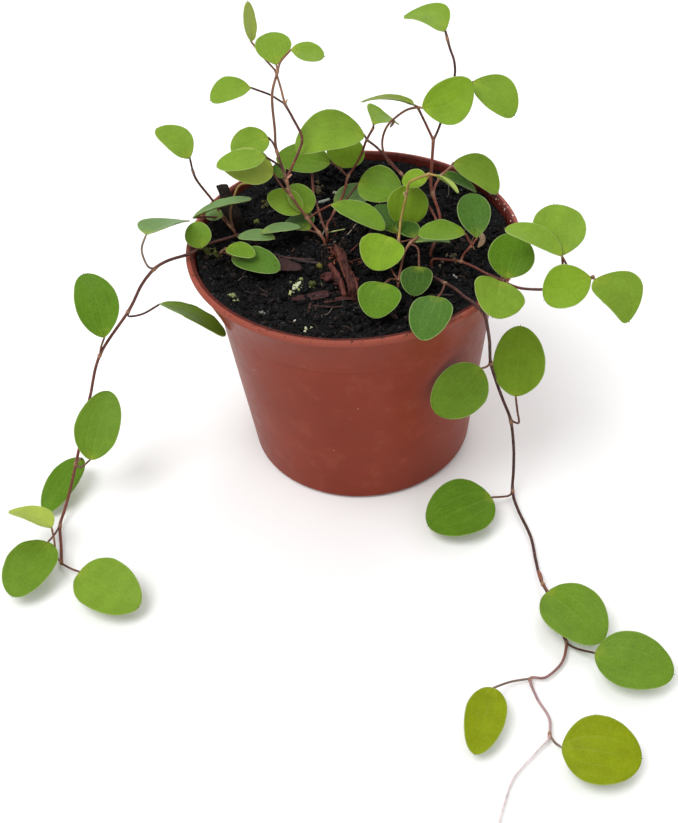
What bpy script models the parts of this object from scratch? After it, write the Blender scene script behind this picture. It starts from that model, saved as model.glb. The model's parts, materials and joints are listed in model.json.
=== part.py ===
"""Wire vine in a small nursery pot: pot, soil, bark, old root, dead leaf and leafy stems.

The origin is the centre of the pot's underside, +Z is up and the front of the plant faces -Y.
Sizes and places in this file are in millimetres and become metres when a mesh is made.
"""
import math

import bmesh
import bpy
from mathutils import Matrix, Vector, noise

MM = 0.001

# Pot: radii are the outside's unless they are named inner
RIM_RADIUS = 46.0
POT_HEIGHT = 69.5
LIP_HEIGHT = 1.5
BASE_RADIUS = 33.0
BODY_TOP_RADIUS = 39.1
LEDGE_Z = 54.3
COLLAR_FOOT_RADIUS = 40.3
COLLAR_FOOT_Z = 56.0
COLLAR_TOP_RADIUS = 45.3
INNER_FOOT_RADIUS = 38.7
INNER_TOP_RADIUS = 43.4
INNER_TOP_Z = 67.2
WALL = 1.2
FLOOR = 1.5
BASE_ROUNDING = 1.6
POT_STEPS = 36
DRAIN_COUNT = 6
DRAIN_RADIUS = 3.5
DRAIN_RING_RADIUS = 21.0

# Soil
GAP = 0.3
SOIL_LEVEL_Z = 64.0
SOIL_EDGE_Z = 67.7
SOIL_RISE_START = 0.8
SOIL_FIELD_LAYER = 3.0
SOIL_MOUND = 0.8
SOIL_RELIEF = 1.3
SOIL_GRAIN = 4.2
SOIL_RING_SHARES = (0.22, 0.44, 0.64, 0.80, 0.91, 1.0)
SOIL_STEPS = 36
HOLE_FOOT_Z = 57.5
HOLE_TOP_Z = 70.0
HOLE_EXTRA = 0.1
ROOT_FOOT_Z = 58.0
ROOT_MIDDLE_Z = 62.0
ROOT_TOP_Z = 66.4

# Leaf blades and stalks
BLADE_THICKNESS = 0.65
STALK_RADIUS = 0.37
STALK_SINK = 1.3
INNER_RING = 0.55
EGG = 0.10
BASE_NARROWING = 0.25
BASE_NARROWING_POWER = 8
TAPER_POWER = 2.5
RIM_POINTS = 12
RING_SPACING = 10.0
TWIG_RADIUS = 0.42

# Bark chip and dead leaf
BARK_PLACE = (-33.2, 17.0)
BARK_SIZE = (4.6, 3.0, 16.0)
BARK_SUNK = 3.0
BARK_UPRIGHT = 4.0
BARK_LEAN = (-0.28, 0.28)
BARK_TAPER = 0.04
BARK_RIDGE = 0.10
BARK_GRAIN = 1.7

COLOURS = {
    "pot": (0.33, 0.07, 0.045),
    "soil": (0.018, 0.015, 0.013),
    "bark_chip": (0.03, 0.022, 0.018),
    "root_crown": (0.12, 0.04, 0.025),
    "dead_leaf": (0.09, 0.045, 0.045),
    "leaf": (0.19, 0.36, 0.04),
}


def leaf(stalk, tip, width, face, cup=0.10, arch=0.05, taper=0.0, bend=0.0, crease=0.0):
    """A leaf: its stalk's points end at the blade's base, and face is the way it looks.

    Taper narrows the base, bend moves the middle of the midrib sideways, crease folds along it.
    """
    return {"stalk": stalk, "tip": tip, "width": width, "face": face, "cup": cup, "arch": arch,
            "taper": taper, "bend": bend, "crease": crease}


# Each leafy stem: its runs start with the foot, (x, y), and every run is (radius, points).
STEMS = {
    "stem_crown_left": {
        "foot": (-8, 4),
        "runs": [
            (0.52, [(-12, 8, 71), (-16, 9, 78), (-17, 10, 83)]),
            (0.48, [(-17, 10, 83), (-19, 12, 91), (-19, 14, 96), (-19, 18, 104), (-17, 22, 109)]),
            (0.48, [(-17, 10, 83), (-13, 16, 88), (-12, 18, 91), (-14, 21, 95), (-16, 24, 98)]),
            (TWIG_RADIUS, [(-16, 24, 98), (-17, 29, 101), (-18, 32, 104)]),
        ],
        "leaves": [
            leaf([(-18, 32, 104), (-20.9, 31.5, 108.4), (-23.8, 32, 112.9)], (-23.8, 36, 122.3), 7.6,
                 (10, -4, 2), cup=0.02, arch=0.0),
            leaf([(-17, 22, 109), (-17.3, 23.2, 110)], (-18.4, 32, 115), 10.5, (0, -3, 9), taper=0.35),
            leaf([(-17, 22, 109), (-16, 23, 111), (-13, 22, 114.6)], (-4.5, 20.2, 112.9), 8.4,
                 (0, -2, 10), taper=0.3, bend=0.8),
            leaf([(-16, 24, 98), (-18, 26, 98.5), (-20, 27, 99.5), (-25, 27, 102)], (-36, 24, 100.6), 9.6,
                 (-1, -3, 9), taper=0.25, bend=0.8),
            leaf([(-18.8, 12, 90), (-19.9, 15.5, 91.2), (-21.2, 19, 91)], (-31.3, 14.5, 89.8), 9.6,
                 (0, -4, 8)),
            leaf([(-17.3, 10.3, 84.2), (-18.5, 11.6, 86.2), (-22.1, 11, 89.8)], (-35, 6, 90.6), 8.6,
                 (0, -2, 9), taper=0.2, bend=-0.8),
            leaf([(-16.5, 9.5, 80.2), (-18, 12.5, 81.9)], (-19.9, 16, 84.3), 3.6, (0, -5, 5)),
            leaf([(-12, 8, 71), (-12, 10.4, 71)], (-15.6, 18.5, 76), 7.8, (2, -4, 8)),
            leaf([(-12, 8, 71), (-13.5, 10.5, 71.5)], (-22.6, 16, 75), 8, (0, -4, 8)),
            leaf([(-9, 5, 68), (-12, 7, 67.9)], (-17, 14, 68), 8.6, (0, -1, 9)),
            leaf([(-12, 8, 71), (-9, 9, 72.5), (-5.3, 7, 75.7)], (8.5, -3, 73), 9, (0, 0, 1), taper=0.35,
                 crease=0.14),
            leaf([(-16, 9, 78), (-18.4, 10.4, 80.6), (-20.5, 12, 84)], (-34.1, 11, 88.8), 10.4,
                 (0, -5, 7)),
        ],
    },
    "stem_left_up": {
        "foot": (-33, 11),
        "runs": [
            (0.46, [(-36, 13, 70), (-38, 15, 74), (-42, 17, 80), (-43, 18, 83)]),
            (TWIG_RADIUS, [(-33.4, 11.5, 67.5), (-33.6, 12, 72), (-32, 13.5, 76.6), (-30.8, 15.5, 78.2),
                    (-29, 16.3, 78.6), (-25, 15.5, 79)]),
        ],
        "leaves": [
            leaf([(-43, 18, 83), (-43.3, 18.6, 86.5)], (-52, 25.2, 92.6), 8.2, (1, -4, 8), bend=1.2),
            leaf([(-36, 13, 70), (-40, 11, 72), (-43.8, 9, 73.3)], (-27, 7.5, 79), 8, (-3, 3, 9)),
            leaf([(-34, 11.8, 68), (-35.8, 12.8, 71)], (-40.8, 13.8, 70.6), 4, (0, -4, 8)),
        ],
    },
    "stem_low_left": {
        "foot": (-37, 0),
        "runs": [
            (TWIG_RADIUS, [(-36.2, -0.6, 68), (-34.8, -1.6, 69.6)]),
        ],
        "leaves": [
            leaf([(-34.8, -1.6, 69.6), (-34.4, -2.2, 70.2)], (-26.8, -8.2, 71), 5.6, (0, -2, 10)),
            leaf([(-36.2, -0.6, 68), (-34.5, -2, 68.2), (-33, -3.6, 68.3)], (-20.4, -11, 67.9), 9,
                 (0, -2, 10)),
        ],
    },
    "stem_soil_left": {
        "foot": (-27, 6),
        "runs": [
            (TWIG_RADIUS, [(-26.3, 5.4, 68), (-25.4, 4.4, 69.2)]),
        ],
        "leaves": [
            leaf([(-25.4, 4.4, 69.2), (-23.4, 3.6, 69.2), (-21.4, 2.4, 69)], (-31.6, 3.6, 69.6), 5.6,
                 (0, 0, 9)),
            leaf([(-25.4, 4.4, 69.2), (-25, 3.9, 70)], (-14.2, 5.2, 70.3), 5.4, (0, 1, 9)),
        ],
    },
    "stem_left_trail": {
        "foot": (-31, 9),
        "runs": [
            (0.56, [(-35, 7, 67), (-39.4, 3.2, 68.4), (-42, -1.5, 70.3), (-44, -5, 71.2), (-50, -8, 71.5),
                    (-54, -8.6, 69.5), (-58, -10, 65.5), (-63, -10, 57), (-73, -12, 44), (-78, -14, 31),
                    (-82, -17, 20), (-85, -22, 12), (-87, -27, 7), (-89, -32, 3), (-90, -37, 1.8),
                    (-89, -44, 1.1), (-88, -51, 1.1)]),
        ],
        "leaves": [
            leaf([(-42, -1.5, 70.3), (-41.4, -3, 71.2)], (-42.4, 2.1, 76.5), 7.2, (0, -6, 6)),
            leaf([(-54, -8.6, 69.5), (-55.5, -9.8, 71.6), (-56.3, -9, 76.2), (-54.5, -8, 80.3)],
                 (-45.3, 4.9, 75.2), 10, (-0.4, 2.2, 8), taper=-0.6, bend=0.2),
            leaf([(-73, -12, 44), (-72.3, -12, 46.5), (-70.7, -12, 50)], (-75.2, 0, 63.4), 12.6,
                 (0, -7, 7), taper=0.2, bend=1.3),
            leaf([(-63, -10, 57), (-63, -11, 56), (-59, -11, 56.5), (-54, -10, 58.7)], (-36.5, -20, 53.9),
                 12, (1, 4.5, 8.5), cup=0.06, arch=0.06),
            leaf([(-85, -22, 12), (-83, -25.5, 13.5), (-79.2, -27.2, 17.9)], (-72.9, -12.3, 30.5), 12.8,
                 (0, -7, 7)),
            leaf([(-85, -22, 12), (-85.2, -17.8, 9.2), (-85.3, -13.9, 6)], (-95, -31.8, 1.9), 9.6,
                 (-1, -3, 8)),
            leaf([(-88, -51, 1.2), (-89, -50, 4), (-89, -48, 8), (-89, -47, 12)], (-101.5, -40.5, 13),
                 8.6, (0, 4, 9), taper=-0.2, bend=1),
            leaf([(-90, -37, 1.8), (-91, -41, 2.5), (-91.5, -46.5, 5.5)], (-99, -64.5, 4.5), 14,
                 (0, -3, 9)),
            leaf([(-88, -51, 1.2), (-85, -53.7, 2), (-81.5, -57.4, 4.5)], (-64.2, -71.3, 4.5), 15.2,
                 (0, -3, 9)),
        ],
    },
    "stem_centre_back": {
        "foot": (-7, 6.4),
        "runs": [
            (0.46, [(-6.8, 8.5, 68.2), (-5.5, 11.5, 68.5), (-4.2, 15, 68.7), (-1.6, 20, 70.3),
                    (0.2, 25, 73), (2.7, 27, 75.6), (4.6, 28.5, 78.4), (6, 29, 82), (8.2, 30.1, 85.3)]),
            (0.50, [(-7, 6.6, 67), (-8, 8.4, 68.9), (-8.6, 11, 70), (-9.4, 15.5, 71), (-10, 19, 71.4),
                    (-10.1, 28, 73.7), (-10.2, 29.4, 75.6)]),
        ],
        "leaves": [
            leaf([(8.2, 30.1, 85.3), (8.3, 30.1, 86.3)], (15.6, 38.8, 81.5), 10, (0, -3.6, 8), taper=0.48,
                 bend=-3.3),
            leaf([(0.2, 25, 73), (-1.2, 26.6, 73.9), (-1.6, 28, 74.5)], (1.9, 33, 81.6), 11.2,
                 (0, -6, 6)),
            leaf([(-0.6, 25.9, 73.5), (-3, 28.3, 75), (-4.7, 29.2, 75.5)], (-20.1, 31.4, 77), 10.2,
                 (0, -4, 8)),
            leaf([(-4.2, 15, 68.7), (-0.8, 18.7, 69.6), (3.2, 21.7, 73)], (14.6, 15.5, 72.5), 11.4,
                 (0, -5, 7), crease=0.1),
            leaf([(-3.6, 16, 69), (-4.4, 19.5, 68.2)], (7, 25.5, 67.8), 7, (0, -5, 7)),
        ],
    },
    "stem_back_right": {
        "foot": (21, -5),
        "runs": [
            (0.55, [(22.9, -1, 67.6), (24.2, 2, 72.3), (22.7, 6.4, 77), (22.3, 8.2, 79), (22.6, 9.8, 82),
                    (23.5, 13, 90.1)]),
            (0.44, [(23.5, 13, 90.1), (21.6, 14, 94.5), (19.5, 15, 99.2)]),
            (0.44, [(23.5, 13, 90.1), (25.2, 15, 92.5), (28, 18, 99), (30, 21, 104), (30, 22, 108),
                    (29, 24, 111), (28, 25.7, 115)]),
            (0.44, [(23.5, 0.5, 69.9), (23.1, 3.4, 71.5), (21, 8, 73.6), (18, 12, 76.3),
                    (14.9, 15.5, 78.6), (9.2, 18.5, 84.9), (5.8, 20.7, 87.2)]),
            (TWIG_RADIUS, [(14.9, 15.5, 78.6), (11.4, 17.6, 81.9), (10.1, 18.4, 84.8), (10.1, 18.4, 88.6),
                    (11.3, 17.8, 92.4), (13.5, 17, 95.3), (16.6, 16, 98), (19.5, 15, 99.2)]),
            (TWIG_RADIUS, [(22.7, 6.4, 77), (23.5, 8.6, 78.3), (24.5, 10.4, 78.9), (25.4, 12, 79.3),
                    (27.8, 15.5, 79.1), (28.9, 17.2, 78.9)]),
        ],
        "leaves": [
            leaf([(19.5, 15, 99.2), (20.6, 13.5, 99.7)], (33.7, 12, 106.5), 12.6, (0, -7, 6), taper=0.35,
                 bend=2.2),
            leaf([(29, 19.5, 101.5), (34.6, 17.8, 104)], (44.8, 10.5, 97.2), 10.6, (1, -6, 7), taper=0.2,
                 bend=-1.2),
            leaf([(28.6, 24.8, 113), (28, 25.7, 115)], (17.8, 32.6, 116.8), 10, (0, -1, 9), taper=-0.3,
                 bend=3),
            leaf([(19.5, 15, 99.2), (18.5, 15.1, 99.9)], (4.8, 19, 99.7), 9.4, (0, 3.6, 9), cup=0.04,
                 arch=0.1),
            leaf([(5.8, 20.7, 87.2), (5.2, 21, 88.6)], (-14.2, 19, 86.8), 12, (0, -5, 7), bend=2.6),
            leaf([(28.9, 17.2, 78.9), (29.8, 19.3, 78.8)], (42, 14.4, 71.1), 9.2, (0, -4, 8), bend=-1.9),
            leaf([(25.2, 11.6, 79.1), (25.8, 15, 77.4), (25.9, 18, 75.9)], (36.3, 18, 69.5), 5.2,
                 (0, -1, 9), crease=0.12),
        ],
    },
    "stem_yellow": {
        "foot": (11.7, -8),
        "runs": [
            (0.46, [(12, -5.6, 69), (12.7, -2, 71.2), (13.4, 0.8, 73.6), (15, 2.5, 79.5),
                    (15.7, 2.4, 83.4), (17, 1.6, 85.2), (19.7, 1, 86.6), (21.1, 0.8, 87.2)]),
        ],
        "leaves": [
            leaf([(21.1, 0.8, 87.2), (23, -1, 87.6)], (28, -6, 85), 6, (6, 2, 6.5)),
            leaf([(21.1, 0.8, 87.2), (21.6, 2.8, 85.6), (21, 4.5, 83.4)], (14.3, 6.5, 82), 5.6,
                 (0, -5, 7)),
            leaf([(15.2, 2.5, 80.4), (16.3, 6.6, 80.6), (16.6, 8.6, 79.6)], (14.7, 5.1, 68.5), 11.4,
                 (0, -8, 4)),
            leaf([(12.2, -4.5, 69.6), (12.3, 0, 68.5), (12.3, 1.5, 68.5)], (7.6, 12.5, 71), 8,
                 (0, -1, 9)),
            leaf([(12.2, -4.5, 69.6), (15, -4, 69.8), (17.3, -3.5, 70)], (13, 3.5, 70.5), 6, (0, -1, 9)),
        ],
    },
    "stem_centre": {
        "foot": (11, -18),
        "runs": [
            (0.44, [(12, -14, 68), (13, -11, 70), (15, -8, 71.5), (18, -6, 72.5)]),
        ],
        "leaves": [
            leaf([(15, -8, 71.5), (16.5, -7.2, 71.3)], (26, -6.6, 70.2), 7, (0, 3, 9)),
            leaf([(15, -8, 71.5), (17, -10, 71), (16.7, -16, 69.4)], (14.5, -25.7, 67.4), 8.5, (0, 0, 1)),
            leaf([(11, -18, 66.8), (9, -12, 68), (8.6, -7, 70.5), (9.2, -5.5, 72.5)], (4.6, -16, 69.5),
                 12, (0, -5, 7)),
            leaf([(11, -18, 66.8), (9, -19, 68.3), (7, -23, 70)], (3.2, -34.2, 67.8), 11.2, (0, -3, 8)),
        ],
    },
    "stem_right_side": {
        "foot": (21, -9),
        "runs": [
            (0.46, [(25, -11, 67.4), (28, -14, 68.8), (31, -19, 70.3), (33, -23, 71.3), (36, -27, 72),
                    (38, -30, 72.5), (41, -33, 73), (46, -35, 73.7), (51, -36, 74.5), (55, -36.1, 76),
                    (58.1, -37.1, 78.2)]),
            (TWIG_RADIUS, [(28, -14, 68.8), (29, -13, 70.5), (31, -13, 73)]),
        ],
        "leaves": [
            leaf([(31, -13, 73), (29.4, -11.3, 75.8)], (17, -11.5, 76.8), 8.6, (0, -1, 9), taper=0.25),
            leaf([(31, -13, 73), (32.4, -12.5, 75)], (32, -0.5, 81), 9.4, (0, -6, 6), taper=0.3,
                 crease=0.1),
            leaf([(37.5, -29.5, 72.4), (37.4, -29.3, 73.8)], (41, -21.5, 81.8), 11.8, (0, -7, 6)),
            leaf([(37.5, -29.5, 72.4), (35.6, -30.7, 74)], (32.5, -42, 71.6), 13.8, (4, -1, 9)),
            leaf([(51, -36, 74.5), (51, -34, 78), (50.6, -33, 82.3)], (50.3, -20.5, 89), 13.4,
                 (0, -7, 7)),
            leaf([(51, -36, 74.5), (52.5, -35.4, 77.5), (51.8, -35, 80), (50.3, -34.2, 83)],
                 (37, -28, 88), 7.9, (0, -1, 9), taper=0.2, bend=1.2),
            leaf([(57.8, -36.9, 77.9), (57.1, -37.5, 78.4)], (45.4, -40.6, 74.7), 11.6, (0, -6, 7),
                 taper=0.35, bend=0.7),
            leaf([(57.9, -37, 77.8), (58, -38.2, 78.2)], (66.2, -44, 68.8), 10, (-2, -6, 7), taper=-0.2,
                 bend=-3.2),
        ],
    },
    "stem_right_trail": {
        "foot": (20, -17),
        "runs": [
            (0.56, [(23, -21.5, 67.6), (25, -26, 69), (27, -32, 70.6), (29, -36, 71.2), (31, -38.5, 69.5),
                    (32, -38, 65), (33.5, -33, 56), (35, -27, 44), (37, -26.5, 36), (39, -28, 30),
                    (41, -29.5, 24), (42, -31, 15), (42, -33, 7.5), (41.5, -36, 2.2), (42, -42, 1.1),
                    (44, -53, 1.1), (44, -61.5, 1.2), (44, -69, 1.9), (45, -74, 2.2), (46, -82, 1.6),
                    (47.3, -90, 1.2)]),
            (0.46, [(47.3, -90, 1.2), (46, -94, 1.1), (44, -97, 1.1), (40, -100, 1.1), (36.3, -100, 1.1),
                    (37, -106, 1.1), (39, -112, 1.1), (38, -117.5, 1.1)]),
            (0.33, [(38, -117.5, 1.1), (34, -121, 0.9), (28, -127, 0.8), (25, -133, 0.8), (23, -138, 0.8),
                    (22.5, -141, 0.8)]),
        ],
        "leaves": [
            leaf([(23, -21.5, 67.6), (21.5, -28, 70), (19.8, -33.5, 72.4)], (14.5, -47.8, 70.6), 10.6,
                 (0, -1, 8)),
            leaf([(35, -27, 43.7), (33.5, -29.5, 44.6), (32, -31, 45.5)], (18.7, -38, 36.9), 14.4,
                 (0, -8, 5)),
            leaf([(41, -29.5, 24), (43, -31, 24.3), (42.6, -30, 28), (42.2, -28.3, 32)], (44.7, -16, 47),
                 14.4, (0, -7, 7)),
            leaf([(41.5, -36, 2.2), (40, -38, 2.2), (34.6, -40.3, 4.5)], (15.6, -49.5, 4.5), 17.4,
                 (0, -3, 9)),
            leaf([(44.4, -71, 2), (44.8, -75.5, 4.5)], (55.5, -92.8, 4.5), 15.6, (0, -3, 9)),
            leaf([(47.3, -90.3, 1.3), (49.5, -92.6, 2), (53.2, -95.7, 4)], (71, -104, 4.5), 15,
                 (0, -3, 9)),
            leaf([(36.3, -100, 1.2), (31, -101, 1.8), (26.2, -103.8, 3.8)], (19.4, -121.5, 3.2), 10,
                 (0, -3, 9)),
            leaf([(38.2, -116.3, 1.1), (39, -119, 1.8), (40, -121.8, 4)], (57.9, -126.5, 4.5), 16.4,
                 (0, -3, 9)),
        ],
    },
}

# Old woody root lying across the middle of the soil, both ends in the soil.
ROOT_CROWN = (1.3, [(-5.0, -1.0, 60), (-5.0, -1.0, 65.4), (-4.7, -2.6, 67.4), (-3.6, -7, 68.0),
                    (-2.2, -14, 67.9), (-1.3, -19.5, 67.5), (-1, -21, 65.7), (-1, -21, 60)])
ROOT_HOLES = [(-5.0, -1.0), (-1, -21)]
ROOT_HOLE_EXTRA = 0.4

DEAD_LEAF = leaf([(-28, -6.5, 65.9)], (-14.4, -8.4, 65.9), 5.6, (0, 0, 1), 0.0, 0.0)


def pot_profile():
    """Half of the pot's section, from the floor's middle up the inside and down the outside."""
    inner_base = BASE_RADIUS - WALL
    lip_foot = POT_HEIGHT - LIP_HEIGHT
    points = [(0, FLOOR), (inner_base - 1.0, FLOOR), (inner_base + 0.1, FLOOR + 1.1)]
    points += [(BODY_TOP_RADIUS - WALL, LEDGE_Z), (INNER_FOOT_RADIUS, COLLAR_FOOT_Z)]
    points += [(INNER_TOP_RADIUS, INNER_TOP_Z), (INNER_TOP_RADIUS + 0.2, POT_HEIGHT - 0.4)]
    points += [(INNER_TOP_RADIUS + 0.6, POT_HEIGHT), (RIM_RADIUS - 0.7, POT_HEIGHT)]
    points += [(RIM_RADIUS - 0.15, POT_HEIGHT - 0.3), (RIM_RADIUS, POT_HEIGHT - 0.7)]
    points += [(RIM_RADIUS - 0.1, lip_foot + 0.1), (COLLAR_TOP_RADIUS, lip_foot - 0.1)]
    points += [(COLLAR_FOOT_RADIUS, COLLAR_FOOT_Z), (COLLAR_FOOT_RADIUS - 0.15, LEDGE_Z + 0.7)]
    points += [(COLLAR_FOOT_RADIUS - 0.6, LEDGE_Z + 0.15), (BODY_TOP_RADIUS, LEDGE_Z)]
    for step in range(4):
        turn = math.radians(90 * step / 3)
        points.append((BASE_RADIUS - BASE_ROUNDING * (1 - math.cos(turn)),
                       BASE_ROUNDING * (1 - math.sin(turn))))
    points.append((0, 0))
    return points


def soil_edge():
    """Radius of the soil's top, clear of the pot's wall."""
    return INNER_TOP_RADIUS - GAP - 0.05


def soil_height(x, y):
    """Height of the soil's top: a crumbly low mound that climbs again at the pot's wall."""
    reach = min(1.0, math.hypot(x, y) / soil_edge())
    fade = 1 - reach ** 4
    climb = max(0.0, (reach - SOIL_RISE_START) / (1 - SOIL_RISE_START))
    rise = (SOIL_EDGE_Z - SOIL_LEVEL_Z) * climb * climb * (3 - 2 * climb)
    crumbs = noise.noise(Vector((x, y, SOIL_FIELD_LAYER)) / SOIL_GRAIN)
    return SOIL_LEVEL_Z + rise + SOIL_MOUND * (1 - reach ** 2) + SOIL_RELIEF * fade * crumbs


def soil_profile():
    """Half of the soil's section, from the top's middle out and down to the floor."""
    points = [(0, SOIL_EDGE_Z)] + [(soil_edge() * share, SOIL_EDGE_Z) for share in SOIL_RING_SHARES]
    points += [(INNER_FOOT_RADIUS - GAP - 0.05, COLLAR_FOOT_Z)]
    points += [(BODY_TOP_RADIUS - WALL - GAP - 0.05, LEDGE_Z)]
    points += [(BASE_RADIUS - WALL - GAP - 0.1, FLOOR + 2.2)]
    points += [(BASE_RADIUS - WALL - 2.2, FLOOR + GAP), (0, FLOOR + GAP)]
    return points


def clear_scene():
    for old in list(bpy.data.objects):
        bpy.data.objects.remove(old, do_unlink=True)


def new_collection(name):
    group = bpy.data.collections.new(name)
    bpy.context.scene.collection.children.link(group)
    return group


def material(name, colour, roughness):
    made = bpy.data.materials.new(name)
    made.use_nodes = True
    shader = made.node_tree.nodes["Principled BSDF"]
    shader.inputs["Base Color"].default_value = (*colour, 1)
    shader.inputs["Roughness"].default_value = roughness
    return made


def add_object(name, mesh, group):
    made = bpy.data.objects.new(name, mesh)
    group.objects.link(made)
    return made


def evaluated_mesh(source, name):
    """The object's mesh with its modifiers or curve bevel made real and caps welded."""
    graph = bpy.context.evaluated_depsgraph_get()
    mesh = bpy.data.meshes.new_from_object(source.evaluated_get(graph))
    mesh.name = name
    build = bmesh.new()
    build.from_mesh(mesh)
    bmesh.ops.remove_doubles(build, verts=build.verts, dist=0.000001)
    bmesh.ops.triangulate(build, faces=build.faces)
    build.to_mesh(mesh)
    build.free()
    return mesh


def make_real(source, group):
    """Replace an object by one that holds its evaluated mesh."""
    name = source.name
    mesh = evaluated_mesh(source, name)
    place = source.matrix_world.copy()
    bpy.data.objects.remove(source, do_unlink=True)
    made = add_object(name, mesh, group)
    made.matrix_world = place
    return made


def turned(name, profile, steps, group):
    """A turned solid from a half section in millimetres, by a Screw modifier."""
    build = bmesh.new()
    corners = [build.verts.new((r * MM, 0, z * MM)) for r, z in profile]
    for first, second in zip(corners, corners[1:]):
        build.edges.new((first, second))
    mesh = bpy.data.meshes.new(name)
    build.to_mesh(mesh)
    build.free()
    made = add_object(name, mesh, group)
    screw = made.modifiers.new("turn", "SCREW")
    screw.steps = steps
    screw.render_steps = steps
    screw.use_merge_vertices = True
    screw.merge_threshold = 0.00001
    return made


def post(name, place, radius, low, high, sides, group):
    """An upright round cutter."""
    build = bmesh.new()
    bmesh.ops.create_cone(build, cap_ends=True, segments=sides, radius1=radius * MM, radius2=radius * MM,
                          depth=(high - low) * MM)
    middle = Vector((place[0], place[1], (low + high) / 2)) * MM
    bmesh.ops.translate(build, verts=build.verts, vec=middle)
    mesh = bpy.data.meshes.new(name)
    build.to_mesh(mesh)
    build.free()
    made = add_object(name, mesh, group)
    made.hide_render = True
    made.display_type = "WIRE"
    return made


def smooth_path(points):
    """A smooth curve through the points, with about one ring for each ring spacing."""
    ends = [2 * points[0] - points[1]] + points + [2 * points[-1] - points[-2]]
    path = [points[0]]
    for before, start, end, after in zip(ends, ends[1:], ends[2:], ends[3:]):
        count = max(1, round((end - start).length / RING_SPACING))
        for step in range(1, count + 1):
            t = step / count
            path.append(0.5 * (2 * start + (end - before) * t
                               + (2 * before - 5 * start + 4 * end - after) * t ** 2
                               + (3 * start - before - 3 * end + after) * t ** 3))
    return path


def tube(name, points, radius, sides_level, group):
    """A round rod along a path, as a bevelled poly curve with filled caps made a mesh."""
    path = smooth_path([Vector(point) for point in points])
    curve = bpy.data.curves.new(name, "CURVE")
    curve.dimensions = "3D"
    curve.bevel_depth = radius * MM
    curve.bevel_resolution = sides_level
    curve.use_fill_caps = True
    line = curve.splines.new("POLY")
    line.points.add(len(path) - 1)
    for point, place in zip(line.points, path):
        point.co = (*(place * MM), 1)
    return make_real(add_object(name, curve, group), group)


def outline(turn, length, width, taper):
    """Place on the blade's edge, along and across, for a turn from the base round by the tip."""
    near_base = (1 + math.cos(turn)) / 2
    along = length * (1 - math.cos(turn)) / 2
    narrowing = 1 - BASE_NARROWING * near_base ** BASE_NARROWING_POWER - taper * near_base ** TAPER_POWER
    across = width / 2 * math.sin(turn) * (1 + EGG * math.cos(turn)) * narrowing
    return along, across


def blade_axes(base, tip, face):
    along = (tip - base).normalized()
    across = along.cross(face).normalized()
    up = across.cross(along)
    return along, across, up


def blade(name, row, group):
    """One leaf blade: a cupped and arched disc of triangles with a solid thickness."""
    base = Vector(row["stalk"][-1])
    tip = Vector(row["tip"])
    length = (tip - base).length
    width = row["width"]
    along, across, up = blade_axes(base, tip, Vector(row["face"]))

    def place(u, v):
        middle_share = 1 - (2 * u / length - 1) ** 2
        lift = row["cup"] * width * (2 * v / width) ** 2 + row["crease"] * abs(v)
        sideways = v + row["bend"] * middle_share
        rise = lift + row["arch"] * length * middle_share
        return (base + along * u + across * sideways + up * rise) * MM

    build = bmesh.new()
    middle = build.verts.new(place(length / 2, 0))
    rings = []
    for count, share in ((RIM_POINTS // 2, INNER_RING), (RIM_POINTS, 1.0)):
        ring = []
        for step in range(count):
            u, v = outline(2 * math.pi * step / count, length, width, row["taper"])
            ring.append(build.verts.new(place(length / 2 + (u - length / 2) * share, v * share)))
        rings.append(ring)
    inner, outer = rings
    for step, corner in enumerate(inner):
        following = inner[(step + 1) % len(inner)]
        rim = [outer[(2 * step + shift) % RIM_POINTS] for shift in range(3)]
        build.faces.new((middle, corner, following))
        build.faces.new((corner, rim[0], rim[1]))
        build.faces.new((corner, rim[1], following))
        build.faces.new((following, rim[1], rim[2]))
    bmesh.ops.recalc_face_normals(build, faces=build.faces)
    mesh = bpy.data.meshes.new(name)
    build.to_mesh(mesh)
    build.free()
    made = add_object(name, mesh, group)
    shell = made.modifiers.new("thickness", "SOLIDIFY")
    shell.thickness = BLADE_THICKNESS * MM
    shell.offset = 0
    return make_real(made, group)


def stalk_points(row):
    """The stalk's points, run on a little into the blade."""
    points = [Vector(point) for point in row["stalk"]]
    inward = (Vector(row["tip"]) - points[-1]).normalized()
    return points + [points[-1] + inward * STALK_SINK]


def fuse(target, pieces_group):
    """Join every object of a collection to the target with one Boolean union."""
    union = target.modifiers.new("join", "BOOLEAN")
    union.operation = "UNION"
    union.operand_type = "COLLECTION"
    union.collection = pieces_group
    union.solver = "MANIFOLD"
    home = target.users_collection[0]
    joined = make_real(target, home)
    for piece in list(pieces_group.objects):
        bpy.data.objects.remove(piece, do_unlink=True)
    bpy.data.collections.remove(pieces_group)
    return joined


def cut(target, cutters_group):
    hollow = target.modifiers.new("cut", "BOOLEAN")
    hollow.operation = "DIFFERENCE"
    hollow.operand_type = "COLLECTION"
    hollow.collection = cutters_group
    hollow.solver = "MANIFOLD"


def root_run(row):
    """The first run, led up out of the soil by a straight foot."""
    x, y = row["foot"]
    radius, points = row["runs"][0]
    return radius, [(x, y, ROOT_FOOT_Z), (x, y, ROOT_MIDDLE_Z), (x, y, ROOT_TOP_Z)] + points


def leafy_stem(name, row, parts, paint):
    pieces = new_collection(name + " pieces")
    radius, points = root_run(row)
    target = tube(name, points, radius, 1, parts)
    for index, (radius, points) in enumerate(row["runs"][1:]):
        tube("%s run %d" % (name, index), points, radius, 1, pieces)
    for index, leaf_row in enumerate(row["leaves"]):
        tube("%s stalk %d" % (name, index), stalk_points(leaf_row), STALK_RADIUS, 0, pieces)
        blade("%s blade %d" % (name, index), leaf_row, pieces)
    joined = fuse(target, pieces)
    joined.name = name
    joined.data.materials.append(paint)
    return joined


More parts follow.
